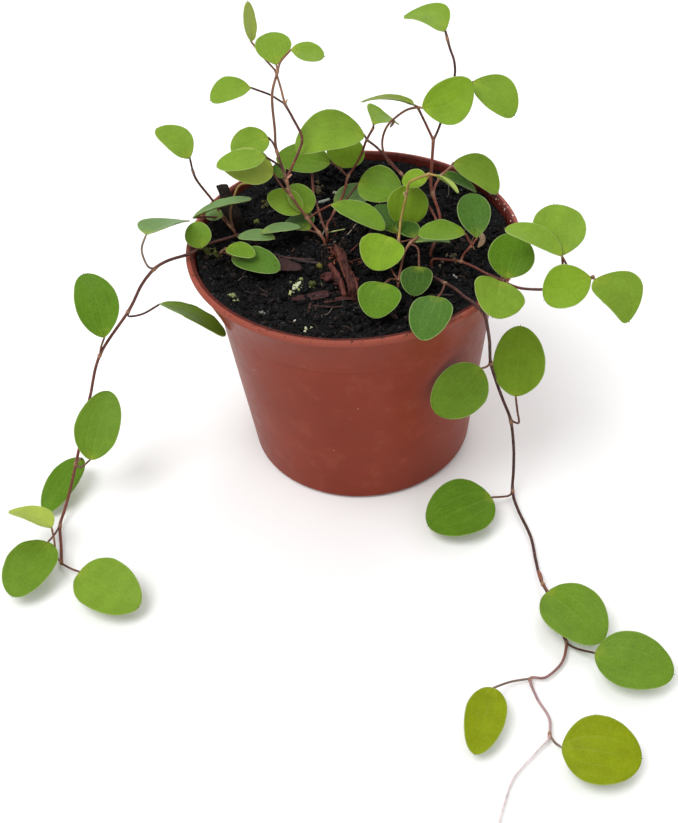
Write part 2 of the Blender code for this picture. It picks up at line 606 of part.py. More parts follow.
def make_pot(parts, cutters):
    pot = turned("pot", pot_profile(), POT_STEPS, parts)
    drains = bpy.data.collections.new("drain cutters")
    cutters.children.link(drains)
    for index in range(DRAIN_COUNT):
        turn = 2 * math.pi * (index + 0.5) / DRAIN_COUNT
        place = (DRAIN_RING_RADIUS * math.cos(turn), DRAIN_RING_RADIUS * math.sin(turn))
        post("drain %d" % index, place, DRAIN_RADIUS, -2, FLOOR + 2, 16, drains)
    cut(pot, drains)
    pot.data.materials.append(material("pot plastic", COLOURS["pot"], 0.42))
    return pot


def make_soil(parts, cutters):
    flat = turned("soil", soil_profile(), SOIL_STEPS, parts)
    soil = make_real(flat, parts)
    for corner in soil.data.vertices:
        x, y, z = corner.co / MM
        if z > SOIL_EDGE_Z - 0.01:
            corner.co.z = soil_height(x, y) * MM
    holes = bpy.data.collections.new("soil cutters")
    cutters.children.link(holes)
    for name, row in STEMS.items():
        radius = row["runs"][0][0] + GAP + HOLE_EXTRA
        post(name + " hole", row["foot"], radius, HOLE_FOOT_Z, HOLE_TOP_Z, 8, holes)
    for index, place in enumerate(ROOT_HOLES):
        radius = ROOT_CROWN[0] + GAP + ROOT_HOLE_EXTRA
        post("root hole %d" % index, place, radius, HOLE_FOOT_Z, HOLE_TOP_Z, 10, holes)
    pocket = box("bark pocket", BARK_PLACE, BARK_SIZE, GAP, holes)
    pocket.hide_render = True
    pocket.display_type = "WIRE"
    cut(soil, holes)
    soil.data.materials.append(material("peat", COLOURS["soil"], 0.95))
    return soil


def box(name, place, size, margin, group):
    """An upright block that reaches a little way into the soil."""
    build = bmesh.new()
    bmesh.ops.create_cube(build, size=1)
    low = SOIL_LEVEL_Z - BARK_SUNK - margin
    high = low + size[2] + margin
    sizes = Vector((size[0] + 2 * margin, size[1] + 2 * margin, high - low)) * MM
    bmesh.ops.transform(build, matrix=Matrix.Diagonal((*sizes, 1)), verts=build.verts)
    bmesh.ops.translate(build, verts=build.verts, vec=Vector((place[0], place[1], (low + high) / 2)) * MM)
    mesh = bpy.data.meshes.new(name)
    build.to_mesh(mesh)
    build.free()
    return add_object(name, mesh, group)


def make_bark(parts):
    """A sliver of bark standing in the soil, its top half split into rough ridges."""
    bark = box("bark_chip", BARK_PLACE, BARK_SIZE, 0, parts)
    build = bmesh.new()
    build.from_mesh(bark.data)
    bmesh.ops.subdivide_edges(build, edges=build.edges, cuts=2, use_grid_fill=True)
    middle = Vector((*BARK_PLACE, SOIL_LEVEL_Z)) * MM
    for corner in build.verts:
        high = max(0.0, corner.co.z / MM - SOIL_LEVEL_Z - BARK_UPRIGHT)
        if high > 0:
            corner.co.x += BARK_LEAN[0] * high * MM
            corner.co.y += BARK_LEAN[1] * high * MM
            outward = corner.co - middle
            outward.z = 0
            ridge = BARK_RIDGE * noise.noise(corner.co / MM / BARK_GRAIN)
            corner.co -= outward * min(0.30, BARK_TAPER * high + ridge)
    bmesh.ops.triangulate(build, faces=build.faces)
    build.to_mesh(bark.data)
    build.free()
    bark.data.materials.append(material("bark", COLOURS["bark_chip"], 0.9))
    return bark


def main():
    clear_scene()
    parts = new_collection("wire_vine")
    cutters = new_collection("cutters")
    make_pot(parts, cutters)
    make_soil(parts, cutters)
    make_bark(parts)
    radius, points = ROOT_CROWN
    root = tube("root_crown", points, radius, 1, parts)
    root.data.materials.append(material("old wood", COLOURS["root_crown"], 0.8))
    dead = blade("dead_leaf", DEAD_LEAF, parts)
    dead.data.materials.append(material("dead leaf", COLOURS["dead_leaf"], 0.7))
    for name, row in STEMS.items():
        leafy_stem(name, row, parts, material(name + " green", COLOURS["leaf"], 0.45))


main()
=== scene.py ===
"""Looks of the potted wire vine: fine leaves, stems, soil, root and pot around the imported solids.

Sizes and places are in millimetres in the pot's frame and become metres when a mesh is made.
"""
import json
import math
import random

import bmesh
import bpy
import numpy as np
from mathutils import Matrix, Vector, noise

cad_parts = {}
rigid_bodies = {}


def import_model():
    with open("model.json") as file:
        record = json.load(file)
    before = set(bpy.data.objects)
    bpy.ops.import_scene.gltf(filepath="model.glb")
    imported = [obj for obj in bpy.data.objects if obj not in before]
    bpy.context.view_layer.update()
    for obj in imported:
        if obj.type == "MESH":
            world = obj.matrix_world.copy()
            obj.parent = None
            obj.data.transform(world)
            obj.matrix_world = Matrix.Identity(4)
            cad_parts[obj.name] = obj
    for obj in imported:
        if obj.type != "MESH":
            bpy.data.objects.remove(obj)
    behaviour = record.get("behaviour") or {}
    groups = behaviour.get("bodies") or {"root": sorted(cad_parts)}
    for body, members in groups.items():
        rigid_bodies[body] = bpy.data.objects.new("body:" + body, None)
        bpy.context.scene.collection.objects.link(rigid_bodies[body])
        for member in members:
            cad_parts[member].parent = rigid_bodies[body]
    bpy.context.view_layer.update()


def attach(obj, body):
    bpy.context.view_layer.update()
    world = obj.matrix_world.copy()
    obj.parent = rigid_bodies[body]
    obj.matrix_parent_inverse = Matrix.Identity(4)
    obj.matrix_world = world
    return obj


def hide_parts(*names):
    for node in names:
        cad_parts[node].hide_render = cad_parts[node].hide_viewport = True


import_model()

MM = 0.001
SEED = 7

# Pot and soil, as in the part's solids
RIM_RADIUS = 46.0
POT_HEIGHT = 69.5
LIP_HEIGHT = 1.5
BASE_RADIUS = 33.0
BODY_TOP_RADIUS = 39.1
LEDGE_Z = 54.3
COLLAR_FOOT_RADIUS = 40.3
COLLAR_FOOT_Z = 56.0
COLLAR_TOP_RADIUS = 45.3
INNER_FOOT_RADIUS = 38.7
INNER_TOP_RADIUS = 43.4
INNER_TOP_Z = 67.2
WALL = 1.2
FLOOR = 1.5
BASE_ROUNDING = 1.6
POT_STEPS = 144
DRAIN_COUNT = 6
DRAIN_RADIUS = 3.5
DRAIN_RING_RADIUS = 21.0
GAP = 0.3
SOIL_LEVEL_Z = 64.0
SOIL_EDGE_Z = 67.7
SOIL_RISE_START = 0.8
SOIL_FIELD_LAYER = 3.0
SOIL_MOUND = 0.8
SOIL_RELIEF = 1.3
SOIL_GRAIN = 4.2
SOIL_RINGS = 120
SOIL_STEPS = 320
CRUMB_COUNT = 6500
RIM_INSIDE = 0.6
FIBRE_COUNT = 170

# Leaves and stems
ROOT_HEIGHTS = (58.0, 62.0, 66.4)
TWIG_RADIUS = 0.42
LEAF_THICKNESS = 0.36
LEAF_RUFFLE = 0.022
EDGE_WAVE = 0.035
EDGE_NICKS = 0.012
EGG = 0.10
BASE_NARROWING = 0.25
BASE_NARROWING_POWER = 8
TAPER_POWER = 2.5
LEAF_ROWS = 26
HALF_ACROSS = (0, 0.03, 0.12, 0.25, 0.36, 0.40, 0.44, 0.56, 0.68, 0.72, 0.76, 0.86, 0.94, 0.985, 1.0)
VEINS = ((0, 1.0), (0.40, 0.6), (0.72, 0.4))
GROOVE = 0.06
RIDGE = 0.072
RIB_DEPTH = 0.24
RIB_PLACES = (0.08, 0.18, 0.32, 0.48)
RIB_RADII = (0.27, 0.25, 0.21, 0.15, 0.07)
RIB_GREEN = (0.35, 0.6, 0.75, 0.9, 1.0)
STALK_RADIUS = 0.30
STEM_SHARE = 0.80
ROD_SPACING = 0.8
ROD_SIDES = 9
ABOUT_A_TURN = 6.28

# Camera, in millimetres, degrees and pixels of the photograph
CAMERA_PLACE = (-7.1, -277.5, 260.07)
CAMERA_TILT = 42.6
CAMERA_ROLL = 4.0
FOCAL_PIXELS = 1215
IMAGE_HEIGHT = 823
SENSOR = 36

# Stage floor: half its side in metres, and how far it lies under the pot in millimetres
FLOOR_HALF = 3.0
FLOOR_DROP = 0.2


def rgb(red, green, blue):
    """A colour given as it looks on a screen, turned into the shader's linear values."""
    values = []
    for part in (red, green, blue):
        share = part / 255
        values.append(share / 12.92 if share <= 0.04045 else ((share + 0.055) / 1.055) ** 2.4)
    return (*values, 1.0)


# Leaf tones, and how strongly each is flecked
TONES = {
    "lime": (rgb(122, 134, 10), 0.1),
    "bright": (rgb(114, 144, 34), 0.1),
    "fresh": (rgb(112, 140, 42), 0.1),
    "mid": (rgb(96, 126, 34), 0.15),
    "deep": (rgb(82, 116, 24), 0.15),
    "blue": (rgb(64, 98, 34), 0.5),
    # dark: a darker green that paints the shade on low leaves lying under others
    "dark": (rgb(50, 80, 24), 0.5),
    "grey": (rgb(100, 128, 76), 0.3),
    "olive": (rgb(104, 122, 4), 0.1),
    "spotted": (rgb(72, 104, 32), 1.0),
    "young": (rgb(152, 168, 70), 0.1),
}
BARK = {
    "dark": rgb(70, 42, 38),
    "red": rgb(112, 58, 46),
    "brown": rgb(96, 60, 46),
    "tan": rgb(130, 90, 68),
    "yellow": rgb(160, 134, 72),
    "mauve": rgb(176, 150, 152),
    "thread": rgb(210, 196, 196),
    "ash": rgb(122, 102, 90),
}


def leaf(tone, stalk, tip, width, face, cup=0.10, arch=0.05, taper=0.0, bend=0.0, crease=0.0,
         bark="brown"):
    """A leaf: its stalk's points end at the blade's base, and face is the way it looks.

    Taper narrows the base, bend moves the middle of the midrib sideways, crease folds along it.
    """
    return {"tone": tone, "stalk": stalk, "tip": tip, "width": width, "face": face, "cup": cup,
            "arch": arch, "taper": taper, "bend": bend, "crease": crease, "bark": bark}


def stem(foot, runs, leaves):
    """A leafy stem: foot is its (x, y) in the soil, and every run is (radius, points, bark colours)."""
    radius, points, colours = runs[0]
    root = [(*foot, z) for z in ROOT_HEIGHTS]
    return {"runs": [(radius, root + points, colours)] + runs[1:], "leaves": leaves}


STEMS = {
    "stem_crown_left": stem((-8, 4), [
        (0.52, [(-12, 8, 71), (-16, 9, 78), (-17, 10, 83)], ("red", "tan")),
        (0.48, [(-17, 10, 83), (-19, 12, 91), (-19, 14, 96), (-19, 18, 104), (-17, 22, 109)],
                ("dark", "tan")),
        (0.48, [(-17, 10, 83), (-13, 16, 88), (-12, 18, 91), (-14, 21, 95), (-16, 24, 98)],
                ("red", "dark")),
        (TWIG_RADIUS, [(-16, 24, 98), (-17, 29, 101), (-18, 32, 104)], ("tan", "tan")),
    ], [
        leaf("young", [(-18, 32, 104), (-20.9, 31.5, 108.4), (-23.8, 32, 112.9)], (-23.8, 36, 122.3), 7.6,
             (10, -4, 2), cup=0.02, arch=0.0, bark="tan"),
        leaf("fresh", [(-17, 22, 109), (-17.3, 23.2, 110)], (-18.4, 32, 115), 10.5, (0, -3, 9),
             taper=0.35, bark="tan"),
        leaf("fresh", [(-17, 22, 109), (-16, 23, 111), (-13, 22, 114.6)], (-4.5, 20.2, 112.9), 8.4,
             (0, -2, 10), taper=0.3, bend=0.8, bark="tan"),
        leaf("fresh", [(-16, 24, 98), (-18, 26, 98.5), (-20, 27, 99.5), (-25, 27, 102)], (-36, 24, 100.6),
             9.6, (-1, -3, 9), taper=0.25, bend=0.8, bark="dark"),
        leaf("fresh", [(-18.8, 12, 90), (-19.9, 15.5, 91.2), (-21.2, 19, 91)], (-31.3, 14.5, 89.8), 9.6,
             (0, -4, 8), bark="dark"),
        leaf("fresh", [(-17.3, 10.3, 84.2), (-18.5, 11.6, 86.2), (-22.1, 11, 89.8)], (-35, 6, 90.6), 8.6,
             (0, -2, 9), taper=0.2, bend=-0.8, bark="dark"),
        leaf("blue", [(-16.5, 9.5, 80.2), (-18, 12.5, 81.9)], (-19.9, 16, 84.3), 3.6, (0, -5, 5)),
        leaf("mid", [(-12, 8, 71), (-12, 10.4, 71)], (-15.6, 18.5, 76), 7.8, (2, -4, 8)),
        leaf("fresh", [(-12, 8, 71), (-13.5, 10.5, 71.5)], (-22.6, 16, 75), 8, (0, -4, 8)),
        leaf("dark", [(-9, 5, 68), (-12, 7, 67.9)], (-17, 14, 68), 8.6, (0, -1, 9)),
        leaf("mid", [(-12, 8, 71), (-9, 9, 72.5), (-5.3, 7, 75.7)], (8.5, -3, 73), 9, (0, 0, 1), taper=0.35,
             crease=0.14, bark="red"),
        leaf("young", [(-16, 9, 78), (-18.4, 10.4, 80.6), (-20.5, 12, 84)], (-34.1, 11, 88.8), 10.4,
             (0, -5, 7)),
    ]),
    "stem_left_up": stem((-33, 11), [
        (0.46, [(-36, 13, 70), (-38, 15, 74), (-42, 17, 80), (-43, 18, 83)], ("red", "dark")),
        (TWIG_RADIUS, [(-33.4, 11.5, 67.5), (-33.6, 12, 72), (-32, 13.5, 76.6), (-30.8, 15.5, 78.2),
                (-29, 16.3, 78.6), (-25, 15.5, 79)], ("brown", "yellow")),
    ], [
        leaf("fresh", [(-43, 18, 83), (-43.3, 18.6, 86.5)], (-52, 25.2, 92.6), 8.2, (1, -4, 8),
             bend=1.2, bark="dark"),
        leaf("grey", [(-36, 13, 70), (-40, 11, 72), (-43.8, 9, 73.3)], (-27, 7.5, 79), 8, (-3, 3, 9)),
        leaf("grey", [(-34, 11.8, 68), (-35.8, 12.8, 71)], (-40.8, 13.8, 70.6), 4, (0, -4, 8)),
    ]),
    "stem_low_left": stem((-37, 0), [
        (TWIG_RADIUS, [(-36.2, -0.6, 68), (-34.8, -1.6, 69.6)], ("brown", "brown")),
    ], [
        leaf("mid", [(-34.8, -1.6, 69.6), (-34.4, -2.2, 70.2)], (-26.8, -8.2, 71), 5.6, (0, -2, 10)),
        leaf("spotted", [(-36.2, -0.6, 68), (-34.5, -2, 68.2), (-33, -3.6, 68.3)], (-20.4, -11, 67.9), 9,
             (0, -2, 10)),
    ]),
    "stem_soil_left": stem((-27, 6), [
        (TWIG_RADIUS, [(-26.3, 5.4, 68), (-25.4, 4.4, 69.2)], ("brown", "brown")),
    ], [
        leaf("grey", [(-25.4, 4.4, 69.2), (-23.4, 3.6, 69.2), (-21.4, 2.4, 69)], (-31.6, 3.6, 69.6), 5.6,
             (0, 0, 9)),
        leaf("grey", [(-25.4, 4.4, 69.2), (-25, 3.9, 70)], (-14.2, 5.2, 70.3), 5.4, (0, 1, 9)),
    ]),
    "stem_left_trail": stem((-31, 9), [
        (0.56, [(-35, 7, 67), (-39.4, 3.2, 68.4), (-42, -1.5, 70.3), (-44, -5, 71.2), (-50, -8, 71.5),
                (-54, -8.6, 69.5), (-58, -10, 65.5), (-63, -10, 57), (-73, -12, 44), (-78, -14, 31),
                (-82, -17, 20), (-85, -22, 12), (-87, -27, 7), (-89, -32, 3), (-90, -37, 1.8),
                (-89, -44, 1.1), (-88, -51, 1.1)], ("dark", "red")),
    ], [
        leaf("mid", [(-42, -1.5, 70.3), (-41.4, -3, 71.2)], (-42.4, 2.1, 76.5), 7.2, (0, -6, 6)),
        leaf("grey", [(-54, -8.6, 69.5), (-55.5, -9.8, 71.6), (-56.3, -9, 76.2), (-54.5, -8, 80.3)],
             (-45.3, 4.9, 75.2), 10, (-0.4, 2.2, 8), taper=-0.6, bend=0.2, bark="ash"),
        leaf("deep", [(-73, -12, 44), (-72.3, -12, 46.5), (-70.7, -12, 50)], (-75.2, 0, 63.4), 12.6,
             (0, -7, 7), taper=0.2, bend=1.3),
        leaf("mid", [(-63, -10, 57), (-63, -11, 56), (-59, -11, 56.5), (-54, -10, 58.7)],
             (-36.5, -20, 53.9), 12, (1, 4.5, 8.5), cup=0.06, arch=0.06, bark="dark"),
        leaf("mid", [(-85, -22, 12), (-83, -25.5, 13.5), (-79.2, -27.2, 17.9)], (-72.9, -12.3, 30.5), 12.8,
             (0, -7, 7)),
        leaf("deep", [(-85, -22, 12), (-85.2, -17.8, 9.2), (-85.3, -13.9, 6)], (-95, -31.8, 1.9), 9.6,
             (-1, -3, 8)),
        leaf("young", [(-88, -51, 1.2), (-89, -50, 4), (-89, -48, 8), (-89, -47, 12)], (-101.5, -40.5, 13),
             8.6, (0, 4, 9), taper=-0.2, bend=1, bark="tan"),
        leaf("mid", [(-90, -37, 1.8), (-91, -41, 2.5), (-91.5, -46.5, 5.5)], (-99, -64.5, 4.5), 14,
             (0, -3, 9)),
        leaf("fresh", [(-88, -51, 1.2), (-85, -53.7, 2), (-81.5, -57.4, 4.5)], (-64.2, -71.3, 4.5), 15.2,
             (0, -3, 9)),
    ]),
    "stem_centre_back": stem((-7, 6.4), [
        (0.46, [(-6.8, 8.5, 68.2), (-5.5, 11.5, 68.5), (-4.2, 15, 68.7), (-1.6, 20, 70.3), (0.2, 25, 73),
                (2.7, 27, 75.6), (4.6, 28.5, 78.4), (6, 29, 82), (8.2, 30.1, 85.3)], ("red", "red")),
        (0.5, [(-7, 6.6, 67), (-8, 8.4, 68.9), (-8.6, 11, 70), (-9.4, 15.5, 71), (-10, 19, 71.4),
                (-10.1, 28, 73.7), (-10.2, 29.4, 75.6)], ("brown", "red")),
    ], [
        leaf("fresh", [(8.2, 30.1, 85.3), (8.3, 30.1, 86.3)], (15.6, 38.8, 81.5), 10, (0, -3.6, 8),
             taper=0.48, bend=-3.3),
        leaf("bright", [(0.2, 25, 73), (-1.2, 26.6, 73.9), (-1.6, 28, 74.5)], (1.9, 33, 81.6), 11.2,
             (0, -6, 6)),
        leaf("mid", [(-0.6, 25.9, 73.5), (-3, 28.3, 75), (-4.7, 29.2, 75.5)], (-20.1, 31.4, 77), 10.2,
             (0, -4, 8)),
        leaf("mid", [(-4.2, 15, 68.7), (-0.8, 18.7, 69.6), (3.2, 21.7, 73)], (14.6, 15.5, 72.5), 11.4,
             (0, -5, 7), crease=0.1),
        leaf("grey", [(-3.6, 16, 69), (-4.4, 19.5, 68.2)], (7, 25.5, 67.8), 7, (0, -5, 7)),
    ]),
    "stem_back_right": stem((21, -5), [
        (0.55, [(22.9, -1, 67.6), (24.2, 2, 72.3), (22.7, 6.4, 77), (22.3, 8.2, 79), (22.6, 9.8, 82),
                (23.5, 13, 90.1)], ("red", "red")),
        (0.44, [(23.5, 13, 90.1), (21.6, 14, 94.5), (19.5, 15, 99.2)], ("red", "dark")),
        (0.44, [(23.5, 13, 90.1), (25.2, 15, 92.5), (28, 18, 99), (30, 21, 104), (30, 22, 108),
                (29, 24, 111), (28, 25.7, 115)], ("dark", "dark")),
        (0.44, [(23.5, 0.5, 69.9), (23.1, 3.4, 71.5), (21, 8, 73.6), (18, 12, 76.3), (14.9, 15.5, 78.6),
                (9.2, 18.5, 84.9), (5.8, 20.7, 87.2)], ("red", "dark")),
        (TWIG_RADIUS, [(14.9, 15.5, 78.6), (11.4, 17.6, 81.9), (10.1, 18.4, 84.8), (10.1, 18.4, 88.6),
                (11.3, 17.8, 92.4), (13.5, 17, 95.3), (16.6, 16, 98), (19.5, 15, 99.2)], ("red", "tan")),
        (TWIG_RADIUS, [(22.7, 6.4, 77), (23.5, 8.6, 78.3), (24.5, 10.4, 78.9), (25.4, 12, 79.3),
                (27.8, 15.5, 79.1), (28.9, 17.2, 78.9)], ("red", "tan")),
    ], [
        leaf("bright", [(19.5, 15, 99.2), (20.6, 13.5, 99.7)], (33.7, 12, 106.5), 12.6, (0, -7, 6),
             taper=0.35, bend=2.2, bark="tan"),
        leaf("fresh", [(29, 19.5, 101.5), (34.6, 17.8, 104)], (44.8, 10.5, 97.2), 10.6, (1, -6, 7),
             taper=0.2, bend=-1.2),
        leaf("fresh", [(28.6, 24.8, 113), (28, 25.7, 115)], (17.8, 32.6, 116.8), 10, (0, -1, 9), taper=-0.3,
             bend=3, bark="dark"),
        leaf("olive", [(19.5, 15, 99.2), (18.5, 15.1, 99.9)], (4.8, 19, 99.7), 9.4, (0, 3.6, 9), cup=0.04,
             arch=0.1),
        leaf("fresh", [(5.8, 20.7, 87.2), (5.2, 21, 88.6)], (-14.2, 19, 86.8), 12, (0, -5, 7), bend=2.6),
        leaf("fresh", [(28.9, 17.2, 78.9), (29.8, 19.3, 78.8)], (42, 14.4, 71.1), 9.2, (0, -4, 8),
             bend=-1.9),
        leaf("blue", [(25.2, 11.6, 79.1), (25.8, 15, 77.4), (25.9, 18, 75.9)], (36.3, 18, 69.5), 5.2,
             (0, -1, 9), crease=0.12),
    ]),
    "stem_yellow": stem((11.7, -8), [
        (0.46, [(12, -5.6, 69), (12.7, -2, 71.2), (13.4, 0.8, 73.6), (15, 2.5, 79.5), (15.7, 2.4, 83.4),
                (17, 1.6, 85.2), (19.7, 1, 86.6), (21.1, 0.8, 87.2)], ("yellow", "yellow")),
    ], [
        leaf("young", [(21.1, 0.8, 87.2), (23, -1, 87.6)], (28, -6, 85), 6, (6, 2, 6.5), bark="yellow"),
        leaf("bright", [(21.1, 0.8, 87.2), (21.6, 2.8, 85.6), (21, 4.5, 83.4)], (14.3, 6.5, 82), 5.6,
             (0, -5, 7), bark="yellow"),
        leaf("bright", [(15.2, 2.5, 80.4), (16.3, 6.6, 80.6), (16.6, 8.6, 79.6)], (14.7, 5.1, 68.5), 11.4,
             (0, -8, 4), bark="yellow"),
        leaf("dark", [(12.2, -4.5, 69.6), (12.3, 0, 68.5), (12.3, 1.5, 68.5)], (7.6, 12.5, 71), 8,
             (0, -1, 9)),
        leaf("dark", [(12.2, -4.5, 69.6), (15, -4, 69.8), (17.3, -3.5, 70)], (13, 3.5, 70.5), 6,
             (0, -1, 9)),
    ]),
    "stem_centre": stem((11, -18), [
        (0.44, [(12, -14, 68), (13, -11, 70), (15, -8, 71.5), (18, -6, 72.5)], ("red", "tan")),
    ], [
        leaf("grey", [(15, -8, 71.5), (16.5, -7.2, 71.3)], (26, -6.6, 70.2), 7, (0, 3, 9)),
        leaf("dark", [(15, -8, 71.5), (17, -10, 71), (16.7, -16, 69.4)], (14.5, -25.7, 67.4), 8.5,
             (0, 0, 1)),
        leaf("bright", [(11, -18, 66.8), (9, -12, 68), (8.6, -7, 70.5), (9.2, -5.5, 72.5)],
             (4.6, -16, 69.5), 12, (0, -5, 7)),
        leaf("deep", [(11, -18, 66.8), (9, -19, 68.3), (7, -23, 70)], (3.2, -34.2, 67.8), 11.2, (0, -3, 8)),
    ]),
    "stem_right_side": stem((21, -9), [
        (0.46, [(25, -11, 67.4), (28, -14, 68.8), (31, -19, 70.3), (33, -23, 71.3), (36, -27, 72),
                (38, -30, 72.5), (41, -33, 73), (46, -35, 73.7), (51, -36, 74.5), (55, -36.1, 76),
                (58.1, -37.1, 78.2)], ("red", "dark")),
        (TWIG_RADIUS, [(28, -14, 68.8), (29, -13, 70.5), (31, -13, 73)], ("red", "red")),
    ], [
        leaf("mid", [(31, -13, 73), (29.4, -11.3, 75.8)], (17, -11.5, 76.8), 8.6, (0, -1, 9),
             taper=0.25, bark="red"),
        leaf("blue", [(31, -13, 73), (32.4, -12.5, 75)], (32, -0.5, 81), 9.4, (0, -6, 6), taper=0.3,
             crease=0.1, bark="red"),
        leaf("deep", [(37.5, -29.5, 72.4), (37.4, -29.3, 73.8)], (41, -21.5, 81.8), 11.8, (0, -7, 6)),
        leaf("fresh", [(37.5, -29.5, 72.4), (35.6, -30.7, 74)], (32.5, -42, 71.6), 13.8, (4, -1, 9)),
        leaf("fresh", [(51, -36, 74.5), (51, -34, 78), (50.6, -33, 82.3)], (50.3, -20.5, 89), 13.4,
             (0, -7, 7)),
        leaf("fresh", [(51, -36, 74.5), (52.5, -35.4, 77.5), (51.8, -35, 80), (50.3, -34.2, 83)],
             (37, -28, 88), 7.9, (0, -1, 9), taper=0.2, bend=1.2),
        leaf("bright", [(57.8, -36.9, 77.9), (57.1, -37.5, 78.4)], (45.4, -40.6, 74.7), 11.6, (0, -6, 7),
             taper=0.35, bend=0.7),
        leaf("fresh", [(57.9, -37, 77.8), (58, -38.2, 78.2)], (66.2, -44, 68.8), 10, (-2, -6, 7),
             taper=-0.2, bend=-3.2),
    ]),
    "stem_right_trail": stem((20, -17), [
        (0.56, [(23, -21.5, 67.6), (25, -26, 69), (27, -32, 70.6), (29, -36, 71.2), (31, -38.5, 69.5),
                (32, -38, 65), (33.5, -33, 56), (35, -27, 44), (37, -26.5, 36), (39, -28, 30),
                (41, -29.5, 24), (42, -31, 15), (42, -33, 7.5), (41.5, -36, 2.2), (42, -42, 1.1),
                (44, -53, 1.1), (44, -61.5, 1.2), (44, -69, 1.9), (45, -74, 2.2), (46, -82, 1.6),
                (47.3, -90, 1.2)], ("dark", "dark")),
        (0.46, [(47.3, -90, 1.2), (46, -94, 1.1), (44, -97, 1.1), (40, -100, 1.1), (36.3, -100, 1.1),
                (37, -106, 1.1), (39, -112, 1.1), (38, -117.5, 1.1)], ("red", "mauve")),
        (0.33, [(38, -117.5, 1.1), (34, -121, 0.9), (28, -127, 0.8), (25, -133, 0.8), (23, -138, 0.8),
                (22.5, -141, 0.8)], ("thread", "thread")),
    ], [
        leaf("blue", [(23, -21.5, 67.6), (21.5, -28, 70), (19.8, -33.5, 72.4)], (14.5, -47.8, 70.6), 10.6,
             (0, -1, 8)),
        leaf("mid", [(35, -27, 43.7), (33.5, -29.5, 44.6), (32, -31, 45.5)], (18.7, -38, 36.9), 14.4,
             (0, -8, 5), bark="tan"),
        leaf("bright", [(41, -29.5, 24), (43, -31, 24.3), (42.6, -30, 28), (42.2, -28.3, 32)],
             (44.7, -16, 47), 14.4, (0, -7, 7)),
        leaf("deep", [(41.5, -36, 2.2), (40, -38, 2.2), (34.6, -40.3, 4.5)], (15.6, -49.5, 4.5), 17.4,
             (0, -3, 9)),
        leaf("mid", [(44.4, -71, 2), (44.8, -75.5, 4.5)], (55.5, -92.8, 4.5), 15.6, (0, -3, 9), bark="red"),
        leaf("mid", [(47.3, -90.3, 1.3), (49.5, -92.6, 2), (53.2, -95.7, 4)], (71, -104, 4.5), 15,
             (0, -3, 9), bark="dark"),
        leaf("lime", [(36.3, -100, 1.2), (31, -101, 1.8), (26.2, -103.8, 3.8)], (19.4, -121.5, 3.2), 10,
             (0, -3, 9), bark="ash"),
        leaf("lime", [(38.2, -116.3, 1.1), (39, -119, 1.8), (40, -121.8, 4)], (57.9, -126.5, 4.5), 16.4,
             (0, -3, 9), bark="ash"),
    ]),
}

BARK_PLACE = (-33.2, 17.0)
BARK_SIZE = (4.6, 3.0, 16.0)
BARK_SUNK = 3.0
BARK_UPRIGHT = 4.0
BARK_LEAN = (-0.28, 0.28)

# Limbs: points, radius, swelling and its pace, sides, roughness, tone and the seeds of both
ROOT_LIMBS = [
    ([(-5.0, -1.0, 60), (-5.0, -1.0, 65.4), (-4.7, -2.6, 67.4), (-3.6, -7, 68.0), (-2.2, -14, 67.9),
      (-1.3, -19.5, 67.5), (-1, -21, 65.7), (-1, -21, 60)],
     1.05, 0.22, 0.16, 26, 0.55, rgb(78, 42, 36), (3, 51)),
    ([(-6.6, -7.6, 66.0), (-5.2, -12.6, 66.5), (-4.0, -17.0, 66.2), (-3.4, -20.6, 65.0)],
     0.8, 0.3, 0.22, 20, 0.5, rgb(88, 48, 42), (8, 71)),
]
# Strands twisted round the first limb: phase, distance, radius and tone
ROOT_STRANDS = [(0.4, 1.0, 0.55, rgb(104, 58, 46)), (2.6, 1.1, 0.48, rgb(70, 38, 34)),
                (4.4, 0.95, 0.42, rgb(96, 56, 44))]
ROOT_FIBRES = 26
ROOT_FIBRE_TONES = (rgb(150, 86, 54), rgb(116, 64, 46), rgb(86, 50, 40))
# Lobes: place, size, flatness and tone
ROOT_LOBES = [
    ((-7.0, -13.4, 66.2), 1.5, 0.8, rgb(80, 44, 42)),
    ((-5.2, -15.6, 66.1), 1.3, 0.8, rgb(70, 38, 36)),
    ((-8.4, -12.4, 65.6), 1.1, 0.7, rgb(78, 40, 34)),
    ((-3.2, -9.0, 67.6), 1.2, 0.8, rgb(104, 60, 44)),
    ((-0.4, -17.0, 67.0), 1.1, 0.8, rgb(84, 44, 37)),
]

DRY_LEAF = leaf("dry", [(-28, -6.5, 66.3)], (-14.4, -8.4, 66.2), 5.6, (0, 0, 1), 0.16, 0.02)


